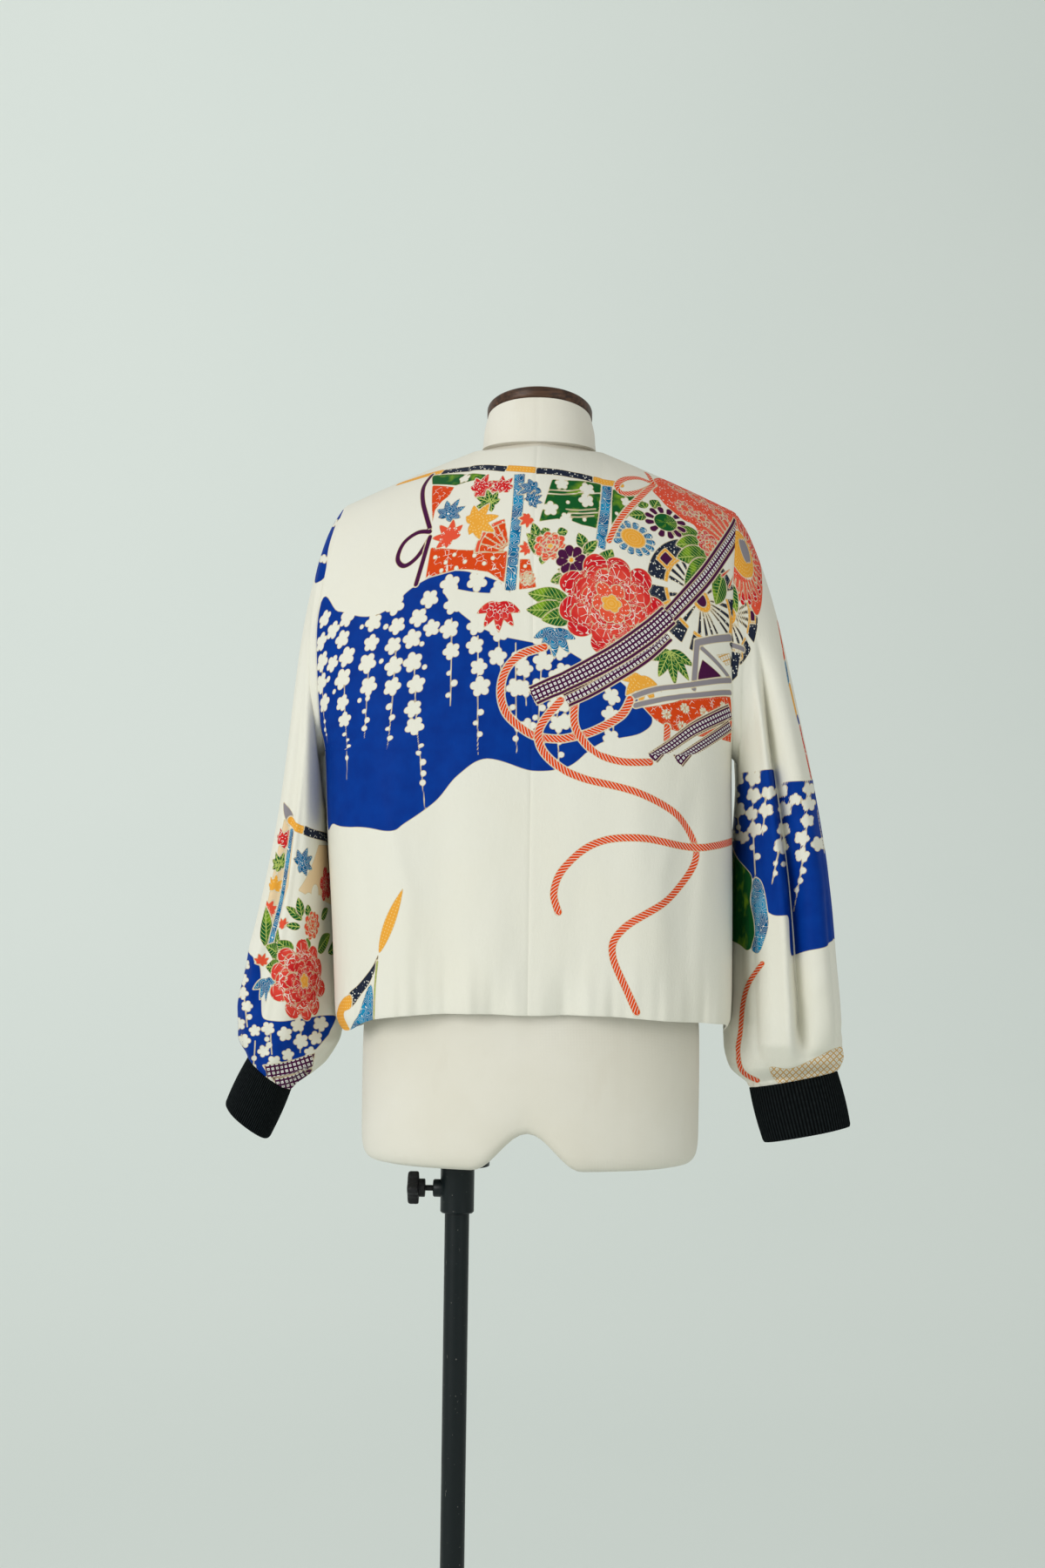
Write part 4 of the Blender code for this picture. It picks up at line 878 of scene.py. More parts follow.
def dyeBack(dye):
    # the field of blue with plum strands
    dye.area("blue", ((366, 705), (389, 702), (417, 708), (445, 700), (475, 674), (514, 656), (552, 660),
                      (596, 678), (626, 700), (646, 742), (690, 770), (712, 782), (748, 822), (735, 842),
                      (690, 853), (655, 879), (612, 885), (560, 871), (526, 890), (500, 920), (465, 945),
                      (449, 954), (420, 950), (385, 946), (366, 925)))
    blossoms(dye, ((370, 706), (420, 708), (470, 682), (520, 662), (560, 666), (604, 686), (650, 752)),
             ((0.03, 140), (0.12, 178), (0.20, 120), (0.30, 150), (0.37, 215), (0.52, 120), (0.64, 165),
              (0.72, 110), (0.80, 150), (0.90, 100)), 11, 9.7, 620)
    blossoms(dye, ((602, 760), (640, 776), (690, 790), (722, 800)), ((0.02, 40), (0.35, 80), (0.80, 70)), 5,
             9.4, 3)
    dye.area(None, ((511, 677), (545, 681), (579, 682), (620, 675), (650, 690), (650, 738), (604, 735),
                    (562, 724), (531, 704)))
    # the screen of panels below the neck
    dye.area("green", ((497, 547), (560, 546), (556, 552), (536, 554), (524, 558), (497, 557)), False)
    dye.area("orange", ((497, 558), (522, 560), (516, 570), (508, 576), (500, 586), (497, 600)), False)
    dye.area("orange", ((495, 629), (540, 632), (583, 633), (579, 669), (561, 657), (524, 654), (489, 664)),
             False)
    dye.fan("orange", (586, 634), 36, 1.75, 3.1, 0.2, 5, "coral")
    dye.maples(((551, 562, 22, "red", 0.4), (577, 561, 17, "red", 1.6),
                (564, 578, 19, "green", 2.6), (515, 591, 20, "teal", 1.0),
                (517, 617, 21, "coral", 2.2), (546, 600, 25, "yellow", 0.2)))
    dye.plum((534, 550), 6, 0.3)
    dye.spots(((500, 640), (512, 646), (522, 637), (534, 645), (545, 638), (556, 647), (566, 641),
               (524, 652), (507, 655)), 2.1)
    dye.area("orange", ((597, 642), (608, 642), (616, 674), (596, 677)), False)
    dye.spots(((603, 650), (609, 662)), 1.8)
    dye.area("green", ((634, 551), (690, 557), (687, 608), (668, 603), (655, 598), (640, 596), (619, 599)),
             False)
    dye.area("green", ((702, 562), (741, 571), (719, 596), (702, 603)), False)
    for x, y in ((630, 563), (628, 567), (650, 585), (652, 589), (648, 593), (664, 566)):
        dye.band(None, ((x, y), (x + 17, y + 1), (x + 34, y)), 1.3, True, 0.0)
    for x, y, r in ((645, 556, 7), (674, 562, 8), (673, 575, 8), (632, 584, 8), (650, 595, 6), (719, 577, 6)):
        dye.plum((x, y), r, x * 0.1)
    dye.spots(((652, 577), (690, 578), (671, 597), (708, 590)), 2.0)
    dye.band("teal", ((597, 545), (594, 590), (586, 677)), 11, square=True)
    dye.band("teal", ((697, 557), (694, 592), (689, 629)), 10.5, square=True)
    for x, y, ink, r in ((613, 561, "teal", 17), (610, 575, "teal", 13), (607, 596, "coral", 11),
                         (606, 630, "coral", 10)):
        dye.maple(ink, (x, y), r, x)
    dye.leaves((((618, 620), (612, 600), 5), ((620, 626), (604, 612), 4), ((640, 612), (652, 610), 5),
                ((628, 614), (624, 606), 5), ((624, 640), (606, 618), 5), ((672, 630), (664, 612), 6),
                ((670, 636), (686, 621), 5), ((652, 636), (642, 630), 5), ((672, 652), (668, 630), 6),
                ((624, 638), (622, 648), 4), ((664, 654), (640, 654), 5), ((650, 662), (632, 668), 6)))
    bar = ((459, 556), (489, 547), (511, 542), (545, 538), (598, 539), (640, 543), (682, 551), (712, 557))
    dye.band("yellow", bar, 8.4)
    for part in (((509, 543), (545, 538), (581, 539)), ((616, 541), (648, 544), (680, 551))):
        dye.band("black", part, 8.4, square=True)
    # purple cord on the left
    dye.band("purple", ((497, 546), (487, 560), (486, 576), (490, 593), (494, 607)), 5.0)
    dye.band("purple", ((494, 611), (480, 612), (464, 624), (457, 642), (465, 650), (480, 639), (494, 617)),
             5.0)
    dye.band("purple", ((494, 617), (486, 644), (478, 671)), 5.0)
    # the wheel of fans, then the flowers and leaves below the screen
    dye.wheel((804, 688), 58)
    dye.leaves((((654, 690), (606, 681), 10), ((654, 702), (604, 700), 10),
                ((660, 706), (622, 712), 9), ((676, 662), (676, 636), 10),
                ((690, 656), (703, 631), 9), ((668, 668), (636, 666), 8),
                ((806, 618), (768, 611), 10), ((810, 626), (776, 626), 9),
                ((816, 640), (777, 641), 11), ((817, 646), (786, 672), 11),
                ((741, 584), (735, 576), 7), ((750, 584), (755, 575), 7),
                ((742, 592), (722, 592), 6), ((829, 660), (821, 694), 9)))
    for x, y, r in ((632, 627, 17), (606, 664, 8)):
        dye.peony((x, y), r, ("coral", "red", "coral", "yellow"))
    dye.petals("purple", (656, 643), 8, 5, 11, 4.5, 0.2)
    dye.disc("yellow", (656, 643), 2.5)
    dye.daisy((764, 600), 24, "purple", "green", 12, 0.8, 0.3)
    dye.daisy((727, 618), 24, "teal", "yellow", 14, 0.78, 0.1)
    dye.area("coral", ((745, 557), (759, 549), (789, 558), (824, 578), (850, 596), (846, 610), (834, 640),
                       (824, 628), (814, 620), (804, 617), (797, 604), (784, 597), (769, 585), (759, 575)))
    dye.petals("red", (852, 638), 26, 26, 44, 1.1, 0.2, 0.4)
    for x, y, r in ((776, 561, 10), (800, 572, 12), (824, 588, 11), (786, 584, 11), (806, 596, 9)):
        dye.petals("red", (x, y), 8, r * 0.5, r * 0.8, r * 0.22, x, 0.45)
    dye.peony((815, 627), 15, ("red", "red", "coral", "coral"), 1.1, 0.6)
    for route in (((751, 557), (734, 550), (716, 551), (708, 559), (716, 567), (735, 565), (751, 557)),
                  ((750, 557), (734, 572), (719, 587), (707, 604), (699, 621)),
                  ((750, 556), (746, 550), (742, 543))):
        dye.band("cord", route, 5.6)
    dye.bamboo("red", (573, 692), 30, -1.57)
    dye.bamboo("teal", (637, 722), 29)
    dye.peony((702, 693), 57, ("red", "red", "coral", "yellow"), 0.84, 0.2)
    dye.bamboo("green", (769, 747), 34, -1.4)
    dye.bamboo("yellow", (736, 776), 30, -1.57)
    # the carriage with its shafts, and the open fan below it
    dye.area(None, ((797, 734), (836, 730), (838, 790), (797, 790)), False)
    dye.area("purple", ((806, 757), (832, 781), (798, 785)), False)
    dye.area("lattice", ((822, 752), (837, 750), (838, 762), (833, 764)), False)
    dye.band("grey", ((803, 742), (820, 758), (838, 780)), 5.4, False)
    dye.band("grey", ((796, 790), (800, 738), (838, 732)), 6, False)
    dye.area("orange", ((739, 812), (774, 806), (838, 800), (838, 852), (800, 845), (772, 838), (752, 826)),
             False)
    for x, y in ((765, 820), (786, 813), (808, 818), (830, 811), (783, 833), (806, 836), (828, 834)):
        dye.petals(None, (x, y), 8, 1.5, 4.4, 1.1, x, 0.0)
    dye.band("grey", ((724, 801), (754, 791), (794, 786), (838, 781)), 5, True)
    dye.band("grey", ((729, 810), (759, 803), (799, 798), (838, 795)), 5, True)
    # cords
    cords = (((766, 834), (765, 855)),
             ((724, 803), (712, 822), (680, 840), (647, 848), (619, 846), (599, 836), (581, 818), (575, 794),
              (581, 769), (599, 751), (625, 743)),
             ((644, 804), (619, 838), (628, 868), (668, 893), (735, 911), (781, 940), (799, 983), (772, 1027),
              (716, 1066), (704, 1100), (731, 1162)),
             ((660, 804), (661, 836), (684, 864), (712, 874), (746, 875)),
             ((842, 965), (800, 973), (735, 962), (684, 968), (648, 996), (636, 1024), (641, 1047)))
    for route in cords:
        dye.band("cord", route, 7.2)
    # bands of tied dots on their purple ground
    for route, width in ((((849, 601), (832, 630), (811, 660), (788, 686), (764, 711)), 9.4),
                         (((766, 728), (735, 755), (704, 775), (675, 792), (650, 804)), 9.4),
                         (((768, 706), (738, 731), (705, 753), (664, 775), (612, 799)), 14.2)):
        dye.band("purple", route, width + 5.6, edge=0.6, square=True)
        dye.band("tied", route, width - 0.8, edge=0.2, square=True)
    for route in (((838, 817), (792, 840), (748, 870)), ((838, 833), (812, 851), (778, 874))):
        dye.band("purple", route, 15.4, square=True)
        dye.band("tied", route, 11.4, edge=0.3, square=True)
    # ribbon and grasses at the lower left
    dye.leaf("yellow", (436, 1094), (463, 1020), 6)
    dye.area("black", ((435, 1096), (432, 1112), (424, 1130), (412, 1146), (402, 1158), (399, 1144),
                       (416, 1126), (428, 1110)))
    dye.area("yellow", ((402, 1142), (404, 1156), (396, 1164), (403, 1184), (396, 1186), (388, 1172),
                        (389, 1158)))
    dye.area("teal", ((426, 1130), (430, 1152), (429, 1176), (402, 1188), (414, 1160)))
    dye.band("green", ((430, 1176), (431, 1140), (434, 1104)), 2.4)


def dyeSides(dye):
    # what goes on round the sides and over the shoulders to the front, in the cloth's own places
    dye.area("blue", ((-262, 318), (-300, 330), (-345, 334), (-396, 306), (-424, 268), (-380, 240),
                      (-320, 232), (-262, 228)), flat=True)
    blossoms(dye, ((-410, 300), (-350, 326), (-286, 322)), ((0.1, 40), (0.4, 70), (0.8, 60)), 3, 9.4, 40,
             True)
    dye.area("coral", ((222, 640), (230, 590), (262, 560), (300, 566), (330, 604), (372, 620), (404, 660),
                       (300, 690)), flat=True)
    for x, y, r, ink in ((262, 600, 22, "red"), (306, 606, 18, "red")):
        dye.petals(ink, (x, y), 9, r * 0.5, r * 0.8, r * 0.2, x, 0.45, True)
    dye.peony((330, 540), 38, flat=True)
    dye.daisy((272, 524), 22, "teal", "yellow", 14, 0.85, flat=True)
    dye.daisy((386, 568), 17, "purple", "green", 12, 0.85, flat=True)
    for x, y, turn in ((296, 502, 3.6), (370, 520, -0.5), (340, 590, 1.2), (362, 566, 0.6)):
        dye.leafSet("green", (x, y), [(turn, 30, 7), (turn + 0.7, 24, 6)], 0.8, True)
    dye.bamboo("green", (322, 486), 28, -1.4, flat=True)
    dye.bamboo("yellow", (368, 486), 24, -1.7, flat=True)
    dye.band("cord", ((262, 186), (310, 184), (356, 198), (384, 232), (372, 268), (342, 262), (340, 226),
                      (372, 190), (398, 140), (392, 84)), 6.6, flat=True)


bodyDye = dyeFor(bodyNames)
dyeBack(bodyDye)
dyeSides(bodyDye)
print("body dyed")


def dyeLeftSleeve(dye, seen):
    dye.area("blue", ((402, 582), (390, 596), (380, 622), (372, 664), (362, 668), (350, 650), (362, 610),
                      (380, 584)))
    for x, y in ((384, 600), (372, 642)):
        seen.plum((x, y), 4.6, x)
    # the field below, then the screen, ribbon and leaves above it, and the peony over both
    dye.area("blue", ((240, 1094), (286, 1094), (298, 1108), (300, 1140), (302, 1166), (318, 1172),
                      (347, 1169), (384, 1166), (378, 1184), (359, 1216), (332, 1224), (310, 1236),
                      (300, 1254), (270, 1254), (240, 1250)))
    blossoms(seen, ((274, 1102), (282, 1102), (290, 1108)), ((0.4, 64),), 21, 6.6, 5)
    blossoms(seen, ((276, 1172), (284, 1172), (296, 1176)), ((0.2, 40), (0.9, 50)), 22, 6.8, 8)
    blossoms(seen, ((308, 1174), (345, 1172), (372, 1168)), ((0.1, 30), (0.5, 30), (0.9, 16)), 23, 7.6, 60)
    dye.area("peach", ((365, 970), (390, 972), (394, 1050), (372, 1034), (356, 1032), (342, 1022),
                       (356, 996)), False)
    dye.area("peach", ((328, 940), (340, 946), (332, 1018), (322, 1052), (312, 1076), (302, 1080),
                       (308, 1040), (318, 990)), False)
    dye.area("grey", ((327, 921), (335, 932), (338, 944), (331, 948)))
    dye.band("yellow", ((334, 942), (343, 951), (354, 954)), 8.4)
    dye.band("black", ((349, 953), (362, 958), (384, 966)), 9.2, square=True)
    dye.maples(((325, 966, 15, "red", 1.0), (322, 993, 15, "green", 2.0),
                (316, 1018, 13, "yellow", 1.4), (309, 1044, 12, "coral", 0.3),
                (326, 1062, 9, "coral", 2.0), (346, 991, 19, "teal", 0.4),
                (300, 1104, 10, "coral", 1.2)))
    dye.leaf("green", (306, 1088), (307, 1040), 7)
    dye.leaf("green", (316, 1092), (320, 1066), 6)
    dye.band("teal", ((336, 952), (331, 986), (325, 1027), (318, 1056), (311, 1084)), 6.6, square=True)
    dye.plum((373, 1015), 18, 0.5, "red")
    dye.petals("yellow", (373, 1015), 6, 2, 6, 0.7, 0.2, 0.0)
    dye.plum((360, 1040), 22, 0.2, None)
    dye.leaves((((346, 1056), (329, 1040), 5), ((346, 1052), (342, 1030), 5),
                ((344, 1064), (328, 1062), 4), ((354, 1052), (352, 1038), 6),
                ((368, 1054), (376, 1043), 6), ((364, 1092), (378, 1072), 9),
                ((376, 1094), (392, 1070), 8), ((330, 1098), (305, 1086), 9),
                ((336, 1094), (320, 1080), 8), ((326, 1110), (305, 1110), 8),
                ((352, 1090), (352, 1076), 7)))
    dye.peony((358, 1062), 17, ("coral", "red", "coral", "coral"))
    dye.bamboo("teal", (306, 1124), 24, -1.4)
    dye.peony((349, 1126), 40, ("red", "red", "red", "yellow"), 1.12, 0.4)
    seen.area("purple", ((303, 1223), (322, 1220), (345, 1215), (362, 1208), (359, 1226), (347, 1247),
                         (328, 1256), (314, 1240)), False)
    for route in (((306, 1230), (334, 1225), (359, 1217)), ((317, 1246), (338, 1241), (352, 1234))):
        seen.band("tied", route, 13.8, edge=0.3, square=True)
    seen.area(None, ((362, 1206), (385, 1180), (400, 1200), (350, 1262), (330, 1262), (348, 1247),
                     (359, 1228)), False)


def dyeRightSleeve(dye, seen):
    # half a large flower and half a wheel of fans go on over the armhole seam
    dye.wheel((836, 706), 52)
    dye.area("coral", ((830, 590), (846, 592), (862, 606), (873, 640), (874, 664), (870, 706), (858, 690),
                       (842, 688), (830, 650)))
    dye.petals("red", (848, 640), 22, 40, 50, 4.4, 0.3, 0.5, squeeze=0.9)
    dye.petals("red", (848, 640), 30, 26, 38, 1.0, 0.2, 0.4)
    dye.petals("yellow", (852, 636), 1, 0, 0, 22, 0.0, 0.6, squeeze=1.2, point=0.0)
    dye.petals("grey", (855, 633), 1, 0, 0, 9, 0.0, 0.6, squeeze=1.7, point=0.0)
    dye.leaf("green", (836, 664), (846, 704), 7)
    dye.band("grey", ((832, 738), (842, 741), (854, 746)), 5)
    dye.area("black", ((832, 746), (850, 750), (846, 776), (832, 792)), False)
    for ink, route in (("orange", ((893, 716), (900, 758))), ("teal", ((901, 762), (905, 786))),
                       ("yellow", ((906, 788), (914, 822))), ("blue", ((915, 824), (919, 838))),
                       ("red", ((918, 836), (931, 894)))):
        dye.band(ink, route, 7)
    # blue field, whose lower edge lies lower on the outer lobe
    dye.area("blue", ((826, 898), (840, 893), (859, 886), (888, 884), (892, 900), (907, 897), (932, 895),
                      (960, 890), (985, 900), (985, 1070), (957, 1078), (935, 1090), (907, 1096),
                      (904, 1054), (884, 1048), (866, 1010), (845, 978), (824, 960)))
    blossoms(seen, ((842, 893), (862, 887), (882, 887)), ((0.15, 64), (0.6, 98), (0.95, 60)), 31, 7.8, 60)
    blossoms(seen, ((896, 900), (915, 898), (938, 898)), ((0.15, 96), (0.75, 124)), 34, 7.8, 60)
    dye.band("tied", ((939, 934), (946, 976)), 6)
    dye.area("green", ((830, 976), (843, 978), (860, 1000), (864, 1012), (862, 1034), (866, 1063),
                       (862, 1090), (846, 1082), (830, 1060)))
    dye.area("teal", ((866, 1010), (875, 1012), (881, 1038), (883, 1063), (874, 1092), (864, 1090),
                      (867, 1063), (863, 1036)))
    seen.band("cord", ((876, 1106), (861, 1128), (854, 1152), (851, 1184), (848, 1207), (853, 1229),
                       (870, 1240)), 5.0)
    seen.area("lattice", ((884, 1225), (907, 1226), (932, 1216), (958, 1203), (972, 1204), (980, 1222),
                          (950, 1240), (923, 1248), (897, 1246)))


sleeveDye = {left: dyeFor(sleeveNames[left]), right: dyeFor(sleeveNames[right])}
dyeLeftSleeve(sleeveDye[left], SeenDye(sleeveDye[left]))
dyeRightSleeve(sleeveDye[right], SeenDye(sleeveDye[right]))
print("sleeves dyed")


def shareOut(dye, names):
    # the dyes' distances go to each panel's outer points, and its inside stays bare
    at = 0
    for name in names:
        data = pieces[name].data
        count = planes[name][2][..., 0].size
        part = slice(at, at + count)
        rows = [(ink + "Edge", edge[part], dye.bare) for ink, edge in zip(inks, dye.edge)]
        for label, values, bare in rows + [("run", dye.run[part], 0.0), ("across", dye.across[part], 0.0)]:
            full = np.full(len(data.vertices), bare, np.float32)
            full[:count] = values
            data.attributes.new(label, "FLOAT", "POINT").data.foreach_set("value", full)
        at += count


shareOut(bodyDye, bodyNames)
for side in (left, right):
    shareOut(sleeveDye[side], sleeveNames[side])


class Shader:
    # short names for the nodes of one material
    def __init__(self, name):
        self.material = bpy.data.materials.new(name)
        self.material.use_nodes = True
        self.tree = self.material.node_tree
        self.surface = self.tree.nodes["Principled BSDF"]

    def node(self, kind, inputs=(), **facts):
        # a node with its settings, and values or links at its inputs
        made = self.tree.nodes.new(kind)
        for key, value in facts.items():
            setattr(made, key, value)
        for key, value in (inputs.items() if isinstance(inputs, dict) else enumerate(inputs)):
            if isinstance(value, bpy.types.NodeSocket):
                self.tree.links.new(value, made.inputs[key])
            elif value is not None:
                made.inputs[key].default_value = value
        return made

    def math(self, operation, *values):
        return self.node("ShaderNodeMath", values, operation=operation).outputs[0]

    def stripe(self, value, pitch):
        # how far through each pitch, from 0 to 1
        return self.math("FRACT", self.math("DIVIDE", value, pitch))

    def fromMiddle(self, value):
        # distance from a half
        return self.math("ABSOLUTE", self.math("SUBTRACT", value, 0.5))

    def cloth(self):
        # place on the cloth in metres
        return self.node("ShaderNodeUVMap", uv_map="cloth").outputs[0]

    def place(self):
        # place in the piece in metres
        return self.node("ShaderNodeTexCoord").outputs["Object"]

    def attribute(self, name):
        return self.node("ShaderNodeAttribute", attribute_name=name).outputs["Fac"]

    def step(self, value, low, high, first=0.0, last=1.0):
        # a straight ramp from first to last
        return self.node("ShaderNodeMapRange", {0: value, 1: low, 2: high, 3: first, 4: last}).outputs[0]

    def mix(self, share, a, b):
        # colour a going over to b by the share
        made = self.node("ShaderNodeMix", data_type="RGBA")
        for key, value in ((0, share), (6, a), (7, b)):
            if isinstance(value, bpy.types.NodeSocket):
                self.tree.links.new(value, made.inputs[key])
            else:
                made.inputs[key].default_value = value
        return made.outputs[2]

    def noise(self, vector, scale, detail=2.0, rough=0.5):
        inputs = {"Vector": vector, "Scale": scale, "Detail": detail, "Roughness": rough}
        return self.node("ShaderNodeTexNoise", inputs).outputs[0]

    def scaled(self, vector, size):
        return self.node("ShaderNodeVectorMath", {0: vector, 1: size}, operation="MULTIPLY").outputs[0]

    def bump(self, height, strength, distance, normal=None):
        inputs = {"Height": height, "Strength": strength, "Distance": distance}
        if normal is not None:
            inputs["Normal"] = normal
        return self.node("ShaderNodeBump", inputs).outputs[0]

    def link(self, socket, name):
        self.tree.links.new(socket, self.surface.inputs[name])

    def fixed(self, **values):
        for name, value in values.items():
            self.surface.inputs[name.replace("_", " ")].default_value = value


silk = {
    "cloth": (0.785, 0.765, 0.675, 1), "blue": (0.001, 0.030, 0.24, 1), "red": (0.58, 0.010, 0.018, 1),
    "coral": (0.76, 0.085, 0.040, 1), "orange": (0.68, 0.060, 0.008, 1), "green": (0.008, 0.10, 0.022, 1),
    "teal": (0.006, 0.10, 0.24, 1), "yellow": (0.82, 0.37, 0.045, 1), "purple": (0.065, 0.008, 0.05, 1),
    "black": (0.016, 0.022, 0.042, 1), "grey": (0.27, 0.245, 0.265, 1), "line": (0.62, 0.50, 0.30, 1),
    "cord": (0.74, 0.070, 0.008, 1), "peach": (0.80, 0.60, 0.37, 1), "lattice": (0.62, 0.36, 0.12, 1),
    "leafLight": (0.20, 0.36, 0.02, 1), "tealLight": (0.010, 0.25, 0.46, 1),
    "redLight": (0.72, 0.06, 0.04, 1), "blueLight": (0.001, 0.040, 0.29, 1), "vein": (0.42, 0.50, 0.12, 1),
    "yellowDot": (0.86, 0.56, 0.18, 1), "tiedDot": (0.80, 0.78, 0.74, 1),
    "clothWarm": (0.790, 0.762, 0.655, 1),
    "tiedPitch": 4.6, "dotPitch": 3.4, "netPitch": 6.4, "slantPitch": 4.0, "veinPitch": 4.2,
    "crepe": 0.30, "roughness": 0.56, "gloss": 0.05,
}


def silkMaterial():
    # each dye goes on where its distance is less than nothing, with a fine line along every edge
    s = Shader("silk_crepe")
    uv = s.cloth()
    run, across = s.attribute("run"), s.attribute("across")
    place = s.node("ShaderNodeCombineXYZ", (run, across, 0.0)).outputs[0]
    edges = {ink: s.attribute(ink + "Edge") for ink in inks}
    # fillings: strokes between cells, rows of dots, slanting strokes, veins
    cells = s.node("ShaderNodeTexVoronoi", {"Vector": place, "Scale": 0.17, "Randomness": 1.0},
                   feature="DISTANCE_TO_EDGE").outputs["Distance"]
    part = s.noise(place, 0.12, 1.0)
    strokes = s.math("MULTIPLY", s.step(cells, 0.022, 0.038, 1, 0), s.step(part, 0.42, 0.46))
    sparse = s.math("MULTIPLY", strokes, s.step(part, 0.50, 0.54))
    curls = s.fromMiddle(s.math("FRACT", s.math("MULTIPLY", s.noise(place, 0.11, 0.0), 9.0)))
    curls = s.step(curls, 0.05, 0.08, 1, 0)

    def dots(pitch, inner, outer):
        # distance from the middle of each cell of a square net
        far = s.math("MAXIMUM", *(s.fromMiddle(s.stripe(way, pitch)) for way in (run, across)))
        ring = s.step(far, outer - 0.04, outer, 1, 0)
        return s.math("MULTIPLY", ring, s.step(far, inner - 0.03, inner)) if inner else ring

    tied = dots(silk["tiedPitch"], 0.10, 0.31)
    small = dots(silk["dotPitch"], 0, 0.20)
    spots = s.node("ShaderNodeTexVoronoi", {"Vector": place, "Scale": 0.34, "Randomness": 0.8})
    spots = s.step(spots.outputs["Distance"], 0.24, 0.31, 1, 0)
    netA, netB = (s.fromMiddle(s.stripe(s.math(way, run, across), silk["netPitch"]))
                  for way in ("ADD", "SUBTRACT"))
    net = s.math("MAXIMUM", s.step(s.math("MINIMUM", netA, netB), 0.11, 0.16, 1, 0),
                 s.math("MULTIPLY", s.step(netA, 0.39, 0.42), s.step(netB, 0.39, 0.42)))
    slant = s.stripe(s.math("ADD", run, s.math("MULTIPLY", across, 1.1)), silk["slantPitch"])
    slant = s.step(slant, 0.76, 0.84)
    beside = s.math("ABSOLUTE", across)
    veins = s.stripe(s.math("SUBTRACT", run, s.math("MULTIPLY", beside, 0.9)), silk["veinPitch"])
    veins = s.math("MAXIMUM", s.step(veins, 0.80, 0.86), s.step(beside, 0.45, 0.7, 1, 0))
    veins = s.math("MULTIPLY", veins, s.step(beside, 20.0, 21.0, 1, 0))
    shade = s.noise(place, 0.05, 2.0)
    cloth = silk["cloth"]

    def shaded(dark, light, low, high):
        # from the dark tone to the light one by the slow noise
        return s.mix(s.step(shade, low, high), silk[dark], silk[light])

    fill = {
        "blue": shaded("blue", "blueLight", 0.3, 0.7),
        "red": s.mix(strokes, shaded("red", "redLight", 0.4, 0.65), cloth),
        "coral": s.mix(spots, silk["coral"], cloth),
        "orange": s.mix(sparse, silk["orange"], cloth),
        "green": s.mix(veins, shaded("green", "leafLight", 0.52, 0.72), silk["vein"]),
        "teal": s.mix(curls, shaded("teal", "tealLight", 0.42, 0.6), cloth),
        "yellow": s.mix(small, silk["yellow"], silk["yellowDot"]),
        "purple": silk["purple"],
        "black": s.mix(spots, silk["black"], cloth),
        "grey": silk["grey"],
        "tied": s.mix(tied, silk["purple"], silk["tiedDot"]),
        "cord": s.mix(slant, silk["cord"], cloth),
        "lattice": s.mix(net, cloth, silk["lattice"]),
        "peach": silk["peach"],
    }
    warm = s.noise(s.scaled(uv, (9, 9, 9)), 1.0, 3.0)
    colour = s.mix(s.step(warm, 0.3, 0.7), cloth, silk["clothWarm"])
    nearest = None
    for ink in inks:
        colour = s.mix(s.step(edges[ink], -0.10, 0.10, 1, 0), colour, fill[ink])
        size = s.math("ABSOLUTE", edges[ink])
        nearest = size if nearest is None else s.math("MINIMUM", nearest, size)
    colour = s.mix(s.math("MULTIPLY", s.step(nearest, 0.22, 0.42, 1, 0), 0.75), colour, silk["line"])
    s.link(colour, "Base Color")
    # crepe: short upright wrinkles over a finer grain
    wrinkle = s.noise(s.scaled(uv, (420, 150, 1)), 1.0, 3.0, 0.6)
    grain = s.noise(s.scaled(uv, (1300, 1100, 1)), 1.0, 1.0)
    height = s.math("ADD", wrinkle, s.math("MULTIPLY", grain, 0.35))
    soft = s.noise(s.scaled(uv, (26, 14, 1)), 1.0, 2.0)
    normal = s.bump(soft, 0.35, 0.004)
    s.link(s.bump(height, silk["crepe"], 0.0008, normal), "Normal")
    s.link(s.step(wrinkle, 0.2, 0.8, silk["roughness"] - 0.06, silk["roughness"] + 0.08), "Roughness")
    s.fixed(Specular_IOR_Level=silk["gloss"])
    return s.material


silkCloth = silkMaterial()

# Each cloth panel gets the silk, rides with the form, and hides the part of the same name
for name, piece in pieces.items():
    piece.data.materials.append(silkCloth)
    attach(piece, "form")
    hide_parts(name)


def ringIndex(rows):
    # point numbers of rings, each closed by its own first point
    index = np.arange(rows[..., 0].size).reshape(rows.shape[:2])
    return np.concatenate([index, index[:, :1]], axis=1)


def tube(name, rows, faceOut=1, uv=None):
    # rows of points joined into a ring that closes both ways
    index = ringIndex(rows)
    cells = quads(np.concatenate([index, index[:1]], axis=0))
    return makeMesh(name, rows.reshape(-1, 3), [cells if faceOut > 0 else cells[:, ::-1]], uv)


def cleanNormals(piece):
    # turns every face outward
    work = bmesh.new()
    work.from_mesh(piece.data)
    bmesh.ops.recalc_face_normals(work, faces=work.faces)
    work.to_mesh(piece.data)
    work.free()


def drum(name, rows, smooth=math.radians(55)):
    # rings of points closed by a flat face at each end
    index = ringIndex(rows)
    groups = [quads(index), index[:1, :-1][:, ::-1], index[-1:, :-1]]
    made = makeMesh(name, rows.reshape(-1, 3), groups, smooth=smooth)
    cleanNormals(made)
    return made


def dress(piece, material, rides, slot, *nodes):
    piece.data.materials.clear()
    piece.data.materials.append(material)
    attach(piece, rides)
    if nodes:
        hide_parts(*nodes)
